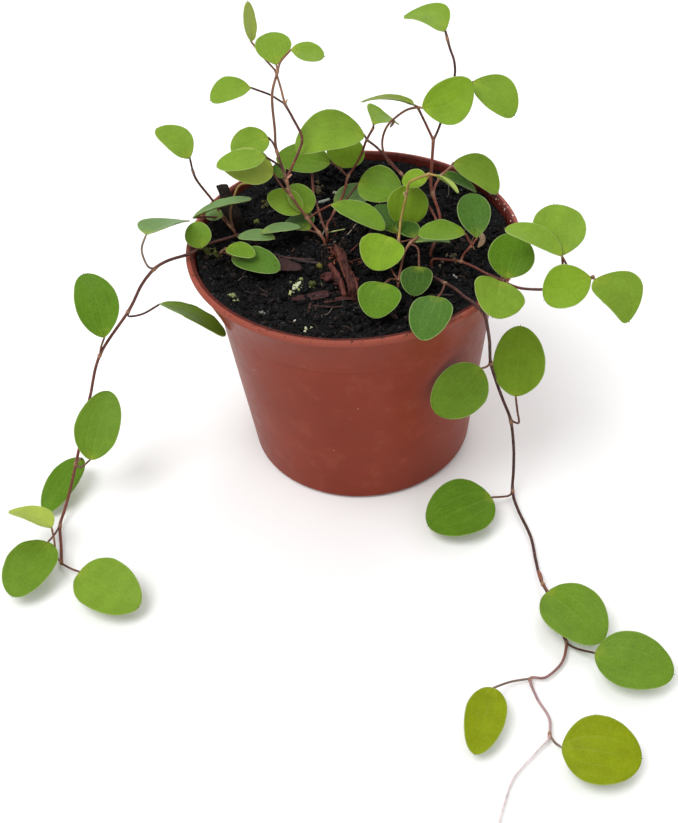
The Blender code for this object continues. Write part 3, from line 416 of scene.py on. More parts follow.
class Shape:
    """The points of one piece with their colours and marks, and its faces with their materials."""

    def __init__(self):
        self.points = []
        self.tones = []
        self.marks = []
        self.faces = []
        self.paints = []
        self.count = 0

    def skin(self, rings, tones, marks, paint, first, last):
        """A closed skin over rings of points, with one more point beyond each end."""
        rows, around = rings.shape[:2]
        start = self.count
        tones = np.broadcast_to(tones, (rows, around, 4))
        marks = np.broadcast_to(marks, (rows, around, 4))
        self.points += [rings.reshape(-1, 3), np.array([first, last], float)]
        self.tones += [tones.reshape(-1, 4), tones[[0, -1], 0]]
        self.marks += [marks.reshape(-1, 4), marks[[0, -1], 0]]
        base, tip = start + rows * around, start + rows * around + 1
        for row in range(rows - 1):
            low, high = start + row * around, start + (row + 1) * around
            for step in range(around):
                after = (step + 1) % around
                self.faces.append((low + step, low + after, high + after, high + step))
        top = start + (rows - 1) * around
        for step in range(around):
            after = (step + 1) % around
            self.faces.append((base, start + after, start + step))
            self.faces.append((tip, top + step, top + after))
        self.paints += [paint] * (around * (rows + 1))
        self.count += rows * around + 2

    def mesh_of(self, points, faces, tone, mark, paint):
        """Points and faces given as they are, with one colour and one set of marks."""
        self.points.append(np.array(points, float))
        self.tones.append(np.broadcast_to(tone, (len(points), 4)))
        self.marks.append(np.broadcast_to(mark, (len(points), 4)))
        self.faces += [tuple(corner + self.count for corner in face) for face in faces]
        self.paints += [paint] * len(faces)
        self.count += len(points)

    def piece(self, name, materials, slot, *nodes):
        """Makes the object, rides it on the body and lets it stand for the CAD nodes."""
        mesh = bpy.data.meshes.new(name)
        mesh.from_pydata((np.concatenate(self.points) * MM).tolist(), [], self.faces)
        for material in materials:
            mesh.materials.append(material)
        mesh.polygons.foreach_set("material_index", self.paints)
        mesh.polygons.foreach_set("use_smooth", [True] * len(self.faces))
        for label, values in (("tone", self.tones), ("marks", self.marks)):
            layer = mesh.attributes.new(label, "FLOAT_COLOR", "POINT")
            layer.data.foreach_set("color", np.concatenate(values).astype(np.float32).ravel())
        build = bmesh.new()
        build.from_mesh(mesh)
        bmesh.ops.recalc_face_normals(build, faces=build.faces)
        build.to_mesh(mesh)
        build.free()
        return placed(name, mesh, slot, *nodes)


def linked(name, data):
    made = bpy.data.objects.new(name, data)
    bpy.context.scene.collection.objects.link(made)
    return made


def mesh_from(build, name):
    mesh = bpy.data.meshes.new(name)
    build.to_mesh(mesh)
    build.free()
    return mesh


def placed(name, mesh, slot, *nodes):
    """An object that rides on the body and stands for the CAD nodes, if any."""
    made = linked(name, mesh)
    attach(made, "root")
    if nodes:
        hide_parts(*nodes)
    return made


class Paint:
    """A material on its Principled shader, with short ways to add and link nodes."""

    def __init__(self, name, **settings):
        self.material = bpy.data.materials.new(name)
        self.material.use_nodes = True
        self.tree = self.material.node_tree
        self.shader = self.tree.nodes["Principled BSDF"]
        for label, value in settings.items():
            self.shader.inputs[label.replace("_", " ")].default_value = value
        self.place = self.tree.nodes.new("ShaderNodeTexCoord").outputs["Object"]

    def plug(self, value, socket):
        if isinstance(value, bpy.types.NodeSocket):
            self.tree.links.new(value, socket)
        else:
            socket.default_value = value

    def node(self, kind, sockets, **settings):
        made = self.tree.nodes.new(kind)
        for label, value in settings.items():
            setattr(made, label, value)
        for label, value in sockets.items():
            self.plug(value, made.inputs[label])
        return made

    def noise(self, size, detail=3.0, roughness=0.55, stretch=None):
        """Noise whose patches are about size millimetres across."""
        place = self.place
        if stretch:
            place = self.node("ShaderNodeMapping", {"Vector": place, "Scale": stretch}).outputs[0]
        return self.node("ShaderNodeTexNoise", {"Vector": place, "Scale": 1 / (size * MM), "Detail": detail,
                                                "Roughness": roughness}).outputs[0]

    def cells(self, size, feature="DISTANCE_TO_EDGE"):
        return self.node("ShaderNodeTexVoronoi", {"Vector": self.place, "Scale": 1 / (size * MM)},
                         feature=feature)

    def remap(self, value, low, high, start=0.0, end=1.0):
        return self.node("ShaderNodeMapRange", {"Value": value, "From Min": low, "From Max": high,
                                                "To Min": start, "To Max": end}).outputs[0]

    def vary(self, value, start, end):
        """A noise value, most of which lies near the middle, spread from start to end."""
        return self.remap(value, 0.3, 0.7, start, end)

    def math(self, operation, first, second):
        return self.node("ShaderNodeMath", {0: first, 1: second}, operation=operation).outputs[0]

    def times(self, first, second):
        return self.math("MULTIPLY", first, second)

    def mix(self, share, first, second):
        return self.node("ShaderNodeMix", {0: share, 6: first, 7: second}, data_type="RGBA").outputs[2]

    def shade(self, colour, value, hue=0.5):
        """The colour made lighter or darker by a value near one."""
        return self.node("ShaderNodeHueSaturation", {"Color": colour, "Value": value, "Hue": hue}).outputs[0]

    def attribute(self, label):
        return self.node("ShaderNodeAttribute", {}, attribute_name=label)

    def split(self, colour):
        return self.node("ShaderNodeSeparateColor", {"Color": colour}).outputs

    def bump(self, height, strength, distance, normal=None):
        sockets = {"Height": height, "Strength": strength, "Distance": distance * MM}
        if normal:
            sockets["Normal"] = normal
        return self.node("ShaderNodeBump", sockets).outputs[0]

    def finish(self, colour, roughness, normal):
        self.plug(colour, self.shader.inputs["Base Color"])
        self.plug(roughness, self.shader.inputs["Roughness"])
        self.plug(normal, self.shader.inputs["Normal"])
        return self.material


def leaf_paint():
    paint = Paint("leaf", Specular_IOR_Level=0.06)
    tone = paint.attribute("tone")
    marks = paint.attribute("marks")
    margin, base, vein = paint.split(marks.outputs["Color"])
    upper = marks.outputs["Alpha"]
    broad = paint.noise(4.5, 3.0)
    fine = paint.noise(0.7, 4.0)
    net = paint.cells(0.8).outputs["Distance"]
    colour = paint.shade(tone.outputs["Color"], paint.vary(broad, 0.91, 1.09))
    colour = paint.shade(colour, paint.vary(fine, 0.94, 1.06), 0.503)
    net_line = paint.remap(net, 0.0, 0.12, 0.08, 0.0)
    colour = paint.mix(net_line, colour, rgb(160, 190, 90))
    colour = paint.mix(paint.times(vein, 0.14), colour, rgb(168, 188, 100))
    near_base = paint.remap(base, 0.3, 3.2, 0.45, 0.0)
    patch = paint.times(near_base, paint.remap(paint.noise(1.4, 3.0), 0.35, 0.65, 0.2, 1.0))
    colour = paint.mix(patch, colour, rgb(158, 168, 52))
    # Painted highlight: a pale band along the margin stands for light catching the leaf's edge.
    margin_highlight = paint.remap(margin, 0.02, 0.30, 0.50, 0.0)
    colour = paint.mix(margin_highlight, colour, rgb(178, 190, 128))
    fleck = paint.cells(1.9, "F1")
    dots = paint.remap(fleck.outputs["Distance"], 0.10, 0.22, 1.0, 0.0)
    chosen = paint.remap(paint.split(fleck.outputs["Color"])[0], 0.55, 0.60, 0.0, 1.0)
    dots = paint.times(paint.times(dots, chosen), tone.outputs["Alpha"])
    colour = paint.mix(paint.times(dots, 0.75), colour, rgb(58, 62, 24))
    under = paint.remap(upper, 0.2, 0.5, 0.55, 0.0)
    colour = paint.mix(under, colour, rgb(132, 160, 80))
    roughness = paint.vary(fine, 0.36, 0.50)
    normal = paint.bump(net, 0.35, 0.10)
    normal = paint.bump(fine, 0.30, 0.06, normal)
    return paint.finish(colour, roughness, normal)


def stem_paint():
    paint = Paint("stem bark", Specular_IOR_Level=0.2)
    tone = paint.attribute("tone")
    pale, streak, _ = paint.split(paint.attribute("marks").outputs["Color"])
    grain = paint.noise(0.5, 4.0)
    broad = paint.noise(2.4, 2.0)
    colour = paint.shade(tone.outputs["Color"], paint.vary(broad, 0.78, 1.22))
    colour = paint.shade(colour, paint.remap(streak, 0.0, 1.0, 0.80, 1.20))
    spots = paint.remap(paint.cells(0.7, "F1").outputs["Distance"], 0.12, 0.25, 0.45, 0.0)
    colour = paint.mix(spots, colour, rgb(176, 140, 116))
    pale_patch = paint.times(pale, paint.remap(grain, 0.3, 0.6, 0.4, 0.9))
    colour = paint.mix(pale_patch, colour, rgb(178, 140, 112))
    roughness = paint.vary(grain, 0.42, 0.62)
    normal = paint.bump(grain, 0.55, 0.12)
    return paint.finish(colour, roughness, normal)


def soil_paint():
    paint = Paint("peat", Specular_IOR_Level=0.05)
    tone = paint.attribute("tone").outputs["Color"]
    lump = paint.noise(1.6, 5.0, 0.65)
    grain = paint.noise(0.35, 5.0, 0.7)
    colour = paint.shade(tone, paint.remap(lump, 0.32, 0.68, 0.45, 1.6))
    colour = paint.shade(colour, paint.remap(grain, 0.35, 0.65, 0.6, 1.5))
    brown = paint.remap(paint.noise(5.0, 3.0), 0.54, 0.72, 0.0, 0.45)
    colour = paint.mix(brown, colour, rgb(30, 24, 22))
    # Painted glints: sparse grey specks stand for light catching the moist peat.
    painted_glints = paint.remap(paint.noise(0.5, 2.0, 0.4), 0.66, 0.72, 0.0, 0.6)
    colour = paint.mix(painted_glints, colour, rgb(92, 96, 100))
    roughness = paint.remap(lump, 0.35, 0.65, 0.55, 0.95)
    normal = paint.bump(lump, 0.9, 0.45)
    normal = paint.bump(grain, 0.9, 0.16, normal)
    return paint.finish(colour, roughness, normal)


def bit_paint(name, low, high, spread):
    """Litter on the soil: the tone of each bit with grain of its own."""
    paint = Paint(name, Specular_IOR_Level=0.1)
    tone = paint.attribute("tone").outputs["Color"]
    grain = paint.noise(0.45, 4.0, 0.65)
    colour = paint.shade(tone, paint.vary(grain, 1 - spread, 1 + spread))
    roughness = paint.vary(grain, low, high)
    glint = paint.remap(paint.noise(0.38, 2.0, 0.4), 0.64, 0.70, 0.0, 0.3)
    colour = paint.mix(glint, colour, rgb(120, 118, 112))
    return paint.finish(colour, roughness, paint.bump(grain, 0.7, 0.15))


def wood_paint():
    paint = Paint("old root", Specular_IOR_Level=0.12)
    tone = paint.attribute("tone").outputs["Color"]
    streak = paint.noise(0.8, 4.0, 0.6, (1.0, 0.16, 1.0))
    patch = paint.noise(2.2, 3.0)
    colour = paint.shade(tone, paint.vary(streak, 0.55, 1.5))
    colour = paint.mix(paint.remap(patch, 0.5, 0.66, 0.0, 0.7), colour, rgb(30, 20, 17))
    roughness = paint.vary(streak, 0.5, 0.8)
    normal = paint.bump(streak, 0.8, 0.4)
    return paint.finish(colour, roughness, normal)


def pot_paint():
    paint = Paint("pot plastic", Specular_IOR_Level=0.06)
    cloud = paint.noise(28, 3.0)
    mottle = paint.noise(3.0, 4.0)
    skin = paint.noise(0.5, 3.0)
    colour = paint.mix(paint.vary(cloud, 0.0, 1.0), rgb(121, 50, 35), rgb(132, 57, 41))
    colour = paint.shade(colour, paint.vary(mottle, 0.95, 1.05))
    dust_place = paint.remap(paint.noise(7, 4.0, 0.7), 0.55, 0.75, 0.0, 0.22)
    colour = paint.mix(dust_place, colour, rgb(158, 98, 80))
    fleck = paint.cells(3.4, "F1")
    dots = paint.remap(fleck.outputs["Distance"], 0.04, 0.075, 1.0, 0.0)
    shade = paint.split(fleck.outputs["Color"])
    dark = paint.times(dots, paint.remap(shade[0], 0.90, 0.92))
    light = paint.times(dots, paint.remap(shade[1], 0.93, 0.95))
    colour = paint.mix(paint.times(dark, 0.8), colour, rgb(58, 30, 24))
    colour = paint.mix(paint.times(light, 0.7), colour, rgb(222, 180, 165))
    place = paint.node("ShaderNodeSeparateXYZ", {"Vector": paint.place}).outputs
    across = paint.math("ADD", paint.times(place[0], place[0]), paint.times(place[1], place[1]))
    across = paint.math("POWER", across, 0.5)
    slope = (INNER_TOP_RADIUS - INNER_FOOT_RADIUS) / (INNER_TOP_Z - COLLAR_FOOT_Z)
    limit = INNER_FOOT_RADIUS - slope * COLLAR_FOOT_Z + RIM_INSIDE
    level = paint.math("SUBTRACT", across, paint.times(place[2], slope))
    inside = paint.times(paint.remap(level, limit * MM, (limit - 0.3) * MM),
                        paint.remap(place[2], COLLAR_FOOT_Z * MM, (COLLAR_FOOT_Z + 1) * MM))
    # The inner wall above the soil is made darker, a little patchy.
    blotches = paint.noise(1.3, 4.0, 0.65)
    inner_darkening = paint.times(inside, paint.remap(blotches, 0.35, 0.6, 0.75, 1.0))
    colour = paint.mix(inner_darkening, colour, rgb(70, 26, 22))
    top = paint.remap(place[2], (POT_HEIGHT - 0.7) * MM, (POT_HEIGHT - 0.1) * MM)
    lip_foot = POT_HEIGHT - LIP_HEIGHT
    # The lip above its foot is mixed lighter: some dust, and a painted highlight where the rolled lip
    # catches the light.
    lip_dust_and_highlight = paint.remap(place[2], (lip_foot - 0.2) * MM, (lip_foot + 0.2) * MM)
    lip_dust_and_highlight = paint.times(lip_dust_and_highlight, paint.math("SUBTRACT", 1.0, inside))
    colour = paint.mix(paint.times(lip_dust_and_highlight, 0.22), colour, rgb(176, 112, 98))
    # Painted highlight: whitish-pink patches on the rim's top towards the right stand for light on its edge.
    rim_highlight = paint.times(top, paint.remap(place[0], 31 * MM, 35 * MM))
    rim_highlight = paint.times(rim_highlight, paint.remap(paint.noise(1.1, 4.0), 0.58, 0.63, 0.0, 0.8))
    colour = paint.mix(rim_highlight, colour, rgb(222, 196, 190))
    dirt = paint.times(top, paint.remap(blotches, 0.60, 0.66, 0.0, 0.8))
    colour = paint.mix(dirt, colour, rgb(40, 24, 20))
    roughness = paint.vary(mottle, 0.32, 0.42)
    normal = paint.bump(skin, 0.12, 0.05)
    return paint.finish(colour, roughness, normal)


def floor_paint():
    paint = Paint("floor", Specular_IOR_Level=0.2)
    soft = paint.noise(60, 2.0)
    colour = paint.mix(paint.vary(soft, 0.0, 1.0), rgb(243, 243, 243), rgb(247, 247, 247))
    return paint.finish(colour, paint.vary(soft, 0.75, 0.85), paint.bump(soft, 0.02, 0.1))


def smooth_path(points, spacing):
    """A smooth curve through the points, with a ring about every spacing."""
    points = [Vector(point) for point in points]
    ends = [2 * points[0] - points[1]] + points + [2 * points[-1] - points[-2]]
    path = [points[0]]
    for before, start, end, after in zip(ends, ends[1:], ends[2:], ends[3:]):
        count = max(1, round((end - start).length / spacing))
        for step in range(1, count + 1):
            t = step / count
            path.append(0.5 * (2 * start + (end - before) * t
                               + (2 * before - 5 * start + 4 * end - after) * t ** 2
                               + (3 * start - before - 3 * end + after) * t ** 3))
    return np.array([tuple(place) for place in path])


def across_frames(path):
    """Two directions square to the path at each of its points, turning as little as possible."""
    tangents = np.gradient(path, axis=0)
    tangents /= np.linalg.norm(tangents, axis=1)[:, None]
    start = np.cross(tangents[0], (0.0, 0.0, 1.0))
    if np.linalg.norm(start) < 0.1:
        start = np.array((1.0, 0.0, 0.0))
    firsts = []
    for tangent in tangents:
        start = start - tangent * np.dot(start, tangent)
        start = start / np.linalg.norm(start)
        firsts.append(start)
    firsts = np.array(firsts)
    return tangents, firsts, np.cross(tangents, firsts)


def rod(shape, path, radii, tones, pale=0.0, sides=ROD_SIDES, paint=1, rough=0.05, seed=0):
    """A round stem along the path; radii, tones and pale have one value for each point."""
    tangents, first, second = across_frames(path)
    turns = np.linspace(0, 2 * math.pi, sides, endpoint=False)
    radii = np.broadcast_to(radii, len(path))
    uneven = np.array([[noise.noise(Vector((i * 0.35, j * 1.7, seed * 3.1))) for j in range(sides)]
                       for i in range(len(path))])
    uneven = 1 + rough * uneven
    ring = (first[:, None, :] * np.cos(turns)[None, :, None]
            + second[:, None, :] * np.sin(turns)[None, :, None])
    rings = path[:, None, :] + ring * (radii[:, None] * uneven)[:, :, None]
    tones = np.broadcast_to(tones, (len(path), 4))[:, None, :]
    marks = np.zeros((len(path), sides, 4))
    marks[:, :, 0] = np.broadcast_to(pale, len(path))[:, None]
    marks[:, :, 1] = 0.5 + 0.5 * (uneven - 1) / max(rough, 0.001)
    first_end = path[0] - tangents[0] * radii[0] * 0.5
    last_end = path[-1] + tangents[-1] * radii[-1] * 0.5
    shape.skin(rings, tones, marks, paint, first_end, last_end)


def blade_frame(row):
    """The blade's base and length, and its directions along, across and up."""
    base, tip = Vector(row["stalk"][-1]), Vector(row["tip"])
    along = (tip - base).normalized()
    across = along.cross(Vector(row["face"])).normalized()
    return base, (tip - base).length, along, across, across.cross(along)


def blade_half(turns, width, taper):
    """Half of the blade's width for turns from the base round to the tip."""
    near_base = (1 + np.cos(turns)) / 2
    narrowing = 1 - BASE_NARROWING * near_base ** BASE_NARROWING_POWER - taper * near_base ** TAPER_POWER
    return width / 2 * np.sin(turns) * (1 + EGG * np.cos(turns)) * narrowing


def middle_share(length, reach):
    """One at the middle of the blade's length, nought at its base and tip."""
    return 1 - (2 * reach / length - 1) ** 2


def wobble(values, seed, layer):
    """Smooth chance values between about -1 and 1."""
    flat = [noise.noise(Vector((value, layer, seed * 1.37))) for value in np.ravel(values)]
    return np.reshape(flat, np.shape(values))


def uneven_half(half, turns, seed, layer):
    """Half of the blade's width with a slightly irregular edge."""
    return half * (1 + EDGE_WAVE * wobble(turns * 1.1, seed, layer)
                   + EDGE_NICKS * wobble(turns * 4, seed, layer + 1))


def blade(shape, row, seed, tone, thickness=LEAF_THICKNESS, ruffle=LEAF_RUFFLE):
    """One leaf blade: grooved veins above, ridges below, a thin and slightly uneven margin."""
    base, length, *axes = blade_frame(row)
    origin, along, across, up = (np.array(item) for item in (base, *axes))
    width = row["width"]
    turns = np.linspace(0, math.pi, LEAF_ROWS + 1)[1:-1]
    places = np.array([-s for s in HALF_ACROSS[:0:-1]] + list(HALF_ACROSS))[None, :]
    out = np.abs(places)
    half = blade_half(turns, width, row["taper"])
    left, right = (uneven_half(half, turns, seed, layer)[:, None] for layer in (1, 5))
    half = half[:, None]
    side = np.where(places < 0, left, right)
    u = np.repeat(length * (1 - np.cos(turns[:, None])) / 2, places.size, axis=1)
    v = places * side
    lift = row["cup"] * width * (2 * v / width) ** 2 + row["crease"] * np.abs(v)
    bow = row["arch"] * length * middle_share(length, u)
    fold = 0.05 * width * out * np.exp(-(u / (0.30 * length)) ** 2)
    wave = ruffle * width * out ** 2 * wobble(u * 0.45 + places * 9, seed, 9)
    height = lift + bow + fold * np.minimum(1, half / (0.2 * width)) + wave
    vein = sum(depth * np.isclose(out, place) for place, depth in VEINS) * np.clip(1.15 - u / length, 0, 1)
    thin = thickness / 2 * (1 - out ** 8) ** 0.5 * np.minimum(1, half / 0.8)
    sideways = v + row["bend"] * middle_share(length, u)

    def spots(z):
        return origin + along * u[..., None] + across * sideways[..., None] + up * z[..., None]

    rings = np.concatenate([spots(height + thin - GROOVE * vein),
                            spots(height - thin - RIDGE * vein)[:, -2:0:-1]], axis=1)
    facing = np.where(out < 0.99, 1.0, 0.5) * np.ones_like(u)
    marks = np.stack([(1 - out) * side, np.hypot(u, v), vein, facing], axis=2)
    lower = marks[:, -2:0:-1].copy()
    lower[:, :, 3] = 0.0
    shape.skin(rings, tone, np.concatenate([marks, lower], axis=1), 0, origin, origin + along * length)


def stalk(shape, row, seed):
    """The leaf's stalk, which runs on under the blade as its midrib."""
    base, length, along, across, up = blade_frame(row)
    path = list(smooth_path(row["stalk"], 0.6))
    for share in RIB_PLACES:
        reach = share * length
        middle = middle_share(length, reach)
        path.append(base + along * reach + across * (row["bend"] * middle)
                    + up * (row["arch"] * length * middle - RIB_DEPTH))
    path = np.array([tuple(point) for point in path])
    radii = np.full(len(path), STALK_RADIUS)
    radii[0] *= 1.25
    radii[-5:] = RIB_RADII
    green = np.zeros((len(path), 1))
    green[-5:, 0] = RIB_GREEN
    tones = np.array(BARK[row["bark"]]) * (1 - green) + np.array(rgb(140, 150, 66)) * green
    rod(shape, path, radii, tones, 0.0, 7, 1, 0.05, seed)


def leaf_point(shape, row, seed):
    """The small dry point at the leaf's tip."""
    _, _, along, _, up = blade_frame(row)
    path = np.array([tuple(Vector(row["tip"]) + along * s + up * 0.05) for s in (-0.9, -0.3, 0.1, 0.4)])
    rod(shape, path, (0.10, 0.14, 0.10, 0.03), rgb(104, 98, 48), 0.0, 6, 1, 0.05, seed)


def sheath(shape, place, tangent, radius, seed):
    """The papery collar round the stem where a leaf leaves it."""
    path = place + tangent / np.linalg.norm(tangent) * np.linspace(-0.4, 0.8, 6)[:, None]
    radii = radius * np.array((1.02, 1.22, 1.34, 1.36, 1.30, 1.10))
    rod(shape, path, radii, rgb(128, 88, 68), 0.4, ROD_SIDES, 1, 0.16, seed)


def leafy_stem(name, row, number, materials):
    """Every run of the stem, thicker and paler at its joints, and every leaf."""
    shape = Shape()
    joints = [one["stalk"][0] for one in row["leaves"]] + [points[0] for _, points, _ in row["runs"][1:]]
    joints = np.array(joints, float)
    for index, (radius, points, colours) in enumerate(row["runs"]):
        path = smooth_path(points, ROD_SPACING)
        apart = np.linalg.norm(path[:, None, :] - joints[None, :, :], axis=2)
        near = np.exp(-apart.min(axis=1) ** 2)
        share = np.linspace(0, 1, len(path))[:, None]
        start, end = (np.array(BARK[colour]) for colour in colours)
        rod(shape, path, radius * STEM_SHARE * (0.96 + 0.26 * near), start * (1 - share) + end * share,
            0.45 * near, ROD_SIDES, 1, 0.07, number * 10 + index)
        tangents = np.gradient(path, axis=0)
        for order, nearest in enumerate(apart.argmin(axis=0)):
            if apart[nearest, order] < 0.8 and 2 < nearest < len(path) - 1:
                sheath(shape, path[nearest], tangents[nearest], radius * STEM_SHARE, number * 7 + order)
    for index, one in enumerate(row["leaves"]):
        seed = number * 20 + index
        colour, flecks = TONES[one["tone"]]
        stalk(shape, one, seed)
        blade(shape, one, seed, (*colour[:3], flecks))
        leaf_point(shape, one, seed)
    return shape.piece(name + "_plant", materials, "living_leaf", name)


BUDS = [
    ([(44.0, -66.2, 1.9), (44.1, -68.2, 2.1), (44.3, -70.2, 2.2)], 0.62, rgb(128, 72, 56)),
    ([(-17.9, 11.6, 86.2), (-18.3, 12.1, 88.4)], 0.26, rgb(150, 170, 90)),
    ([(-16.8, 9.8, 83.2), (-15.4, 9.3, 84.8)], 0.32, rgb(196, 140, 120)),
    ([(12.2, 17.4, 92.4), (13.5, 17.0, 94.6)], 0.36, rgb(96, 74, 62)),
    ([(15.0, 2.4, 79.2), (14.4, 2.2, 81.2)], 0.34, rgb(196, 176, 122)),
    ([(-16.0, 24.2, 97.6), (-15.2, 24.4, 99.2)], 0.26, rgb(190, 150, 110)),
]


def buds_piece(materials):
    """Resting buds in the angles of the stems."""
    shape = Shape()
    for index, (points, radius, tone) in enumerate(BUDS):
        path = smooth_path(points, 0.2)
        swell = np.sin(np.pi * (0.12 + 0.80 * np.linspace(0, 1, len(path)))) ** 0.7
        rod(shape, path, radius * swell, tone, 0.2, 12, 1, 0.08, 640 + index)
    return shape.piece("resting_buds", materials, "living_leaf")


def polar(radius, turn):
    return radius * math.cos(turn), radius * math.sin(turn)


def soil_edge():
    """Radius of the soil's top, clear of the pot's wall."""
    return INNER_TOP_RADIUS - GAP - 0.05


def soil_height(x, y):
    """Height of the soil's top: the solid's low mound with fine crumbs on it."""
    reach = min(1.0, math.hypot(x, y) / soil_edge())
    fade = 1 - reach ** 4
    climb = max(0.0, (reach - SOIL_RISE_START) / (1 - SOIL_RISE_START))
    rise = (SOIL_EDGE_Z - SOIL_LEVEL_Z) * climb * climb * (3 - 2 * climb)
    crumbs = noise.noise(Vector((x, y, SOIL_FIELD_LAYER)) / SOIL_GRAIN)
    level = SOIL_LEVEL_Z + rise + SOIL_MOUND * (1 - reach ** 2) + SOIL_RELIEF * fade * crumbs
    lumps = 0.5 - noise.voronoi(Vector((x, y, 1.0)) / 1.9)[0][0]
    grit = 0.5 - noise.voronoi(Vector((x, y, 5.0)) / 0.8)[0][0]
    rough = noise.fractal(Vector((x, y, 9.0)) / 0.9, 0.6, 2.1, 4)
    return level + 1.2 * lumps + 0.55 * grit + 0.35 * rough


def on_soil(x, y, lift=0.0):
    return x, y, soil_height(x, y) + lift


def soil_piece(material):
    turns = np.linspace(0, 2 * math.pi, SOIL_STEPS, endpoint=False)
    rings = [[on_soil(*polar(radius, turn)) for turn in turns]
             for radius in soil_edge() * np.linspace(0, 1, SOIL_RINGS + 1)[1:]]
    for radius, z in ((INNER_TOP_RADIUS - GAP - 0.15, INNER_TOP_Z - 2),
                      (INNER_FOOT_RADIUS - GAP - 0.05, COLLAR_FOOT_Z),
                      (BODY_TOP_RADIUS - WALL - GAP - 0.05, LEDGE_Z),
                      (BASE_RADIUS - WALL - GAP - 0.1, FLOOR + 2.2),
                      (BASE_RADIUS - WALL - 2.2, FLOOR + GAP)):
        rings.append([(*polar(radius, turn), z) for turn in turns])
    shape = Shape()
    shape.skin(np.array(rings), rgb(19, 19, 20), np.zeros(4), 0, on_soil(0, 0), (0, 0, FLOOR + GAP))
    return shape.piece("soil_bed", [material], "potting_soil", "soil")


def lump_form(level):
    """Points and faces of a small ball."""
    build = bmesh.new()
    bmesh.ops.create_icosphere(build, subdivisions=level, radius=1)
    points = np.array([tuple(corner.co) for corner in build.verts])
    faces = [[corner.index for corner in face.verts] for face in build.faces]
    build.free()
    return points, faces


def lump(shape, form, place, size, squash, tone, seed, rough=0.35):
    """An uneven crumb."""
    points, faces = form
    rng = random.Random(seed)
    turn = Matrix.Rotation(rng.uniform(0, ABOUT_A_TURN), 3,
                           Vector((rng.random(), rng.random(), 1)).normalized())
    uneven = np.array([1 + rough * noise.noise(Vector(p) * 1.6 + Vector((seed * 0.7, 0, 0))) * 2
                       for p in points])
    shaped = points * uneven[:, None] * np.array((1.0, rng.uniform(0.55, 1.0), squash)) * size
    shaped = shaped @ np.array(turn).T + np.array(place)
    shape.mesh_of(shaped, faces, tone, np.zeros(4), 0)


def scattered(rng, limit):
    """A chance place on the soil's top."""
    return polar(limit * math.sqrt(rng.random()), rng.uniform(0, 2 * math.pi))


def crumbs_piece(material):
    rng = random.Random(SEED)
    shape = Shape()
    form = lump_form(1)
    shades = [rgb(17, 17, 18)] * 16 + [rgb(26, 24, 24)] * 6 + [rgb(38, 31, 28)] * 2
    small_shades = shades + [rgb(62, 64, 66)] * 2 + [rgb(104, 106, 108)]
    for index in range(CRUMB_COUNT):
        x, y = scattered(rng, soil_edge() - 1.6)
        size = 0.20 + 1.15 * rng.random() ** 5
        lump(shape, form, on_soil(x, y, 0.15 * size), size, 0.8,
             rng.choice(small_shades if size < 0.3 else shades), index)
    return shape.piece("soil_crumbs", [material], "potting_soil")


def fibres_piece(material):
    """Peat fibres and hair roots that lie on the soil."""
    rng = random.Random(SEED + 1)
    shape = Shape()
    shades = [rgb(30, 25, 23)] * 6 + [rgb(50, 38, 32)] * 3 + [rgb(84, 66, 54)] + [rgb(120, 108, 98)]
    for index in range(FIBRE_COUNT):
        x, y = scattered(rng, soil_edge() - 5)
        heading = rng.uniform(0, 2 * math.pi)
        bend = rng.uniform(-0.35, 0.35)
        length = rng.uniform(2.0, 7.5)
        hop = rng.uniform(0.0, 0.8)
        steps = max(4, int(length / 0.8))
        path = []
        for step in range(steps + 1):
            share = step / steps
            path.append(on_soil(x, y, 0.10 + hop * math.sin(math.pi * share)))
            x += math.cos(heading) * length / steps
            y += math.sin(heading) * length / steps
            heading += bend + rng.uniform(-0.2, 0.2)
        path = smooth_path(path[::2] if len(path) > 5 else path, 0.7)
        inside = np.hypot(path[:, 0], path[:, 1]) < soil_edge() - 1
        if inside.all():
            rod(shape, path, rng.uniform(0.07, 0.17), rng.choice(shades), 0, 4, 0, 0.1, index)
    return shape.piece("peat_fibres", [material], "potting_soil")


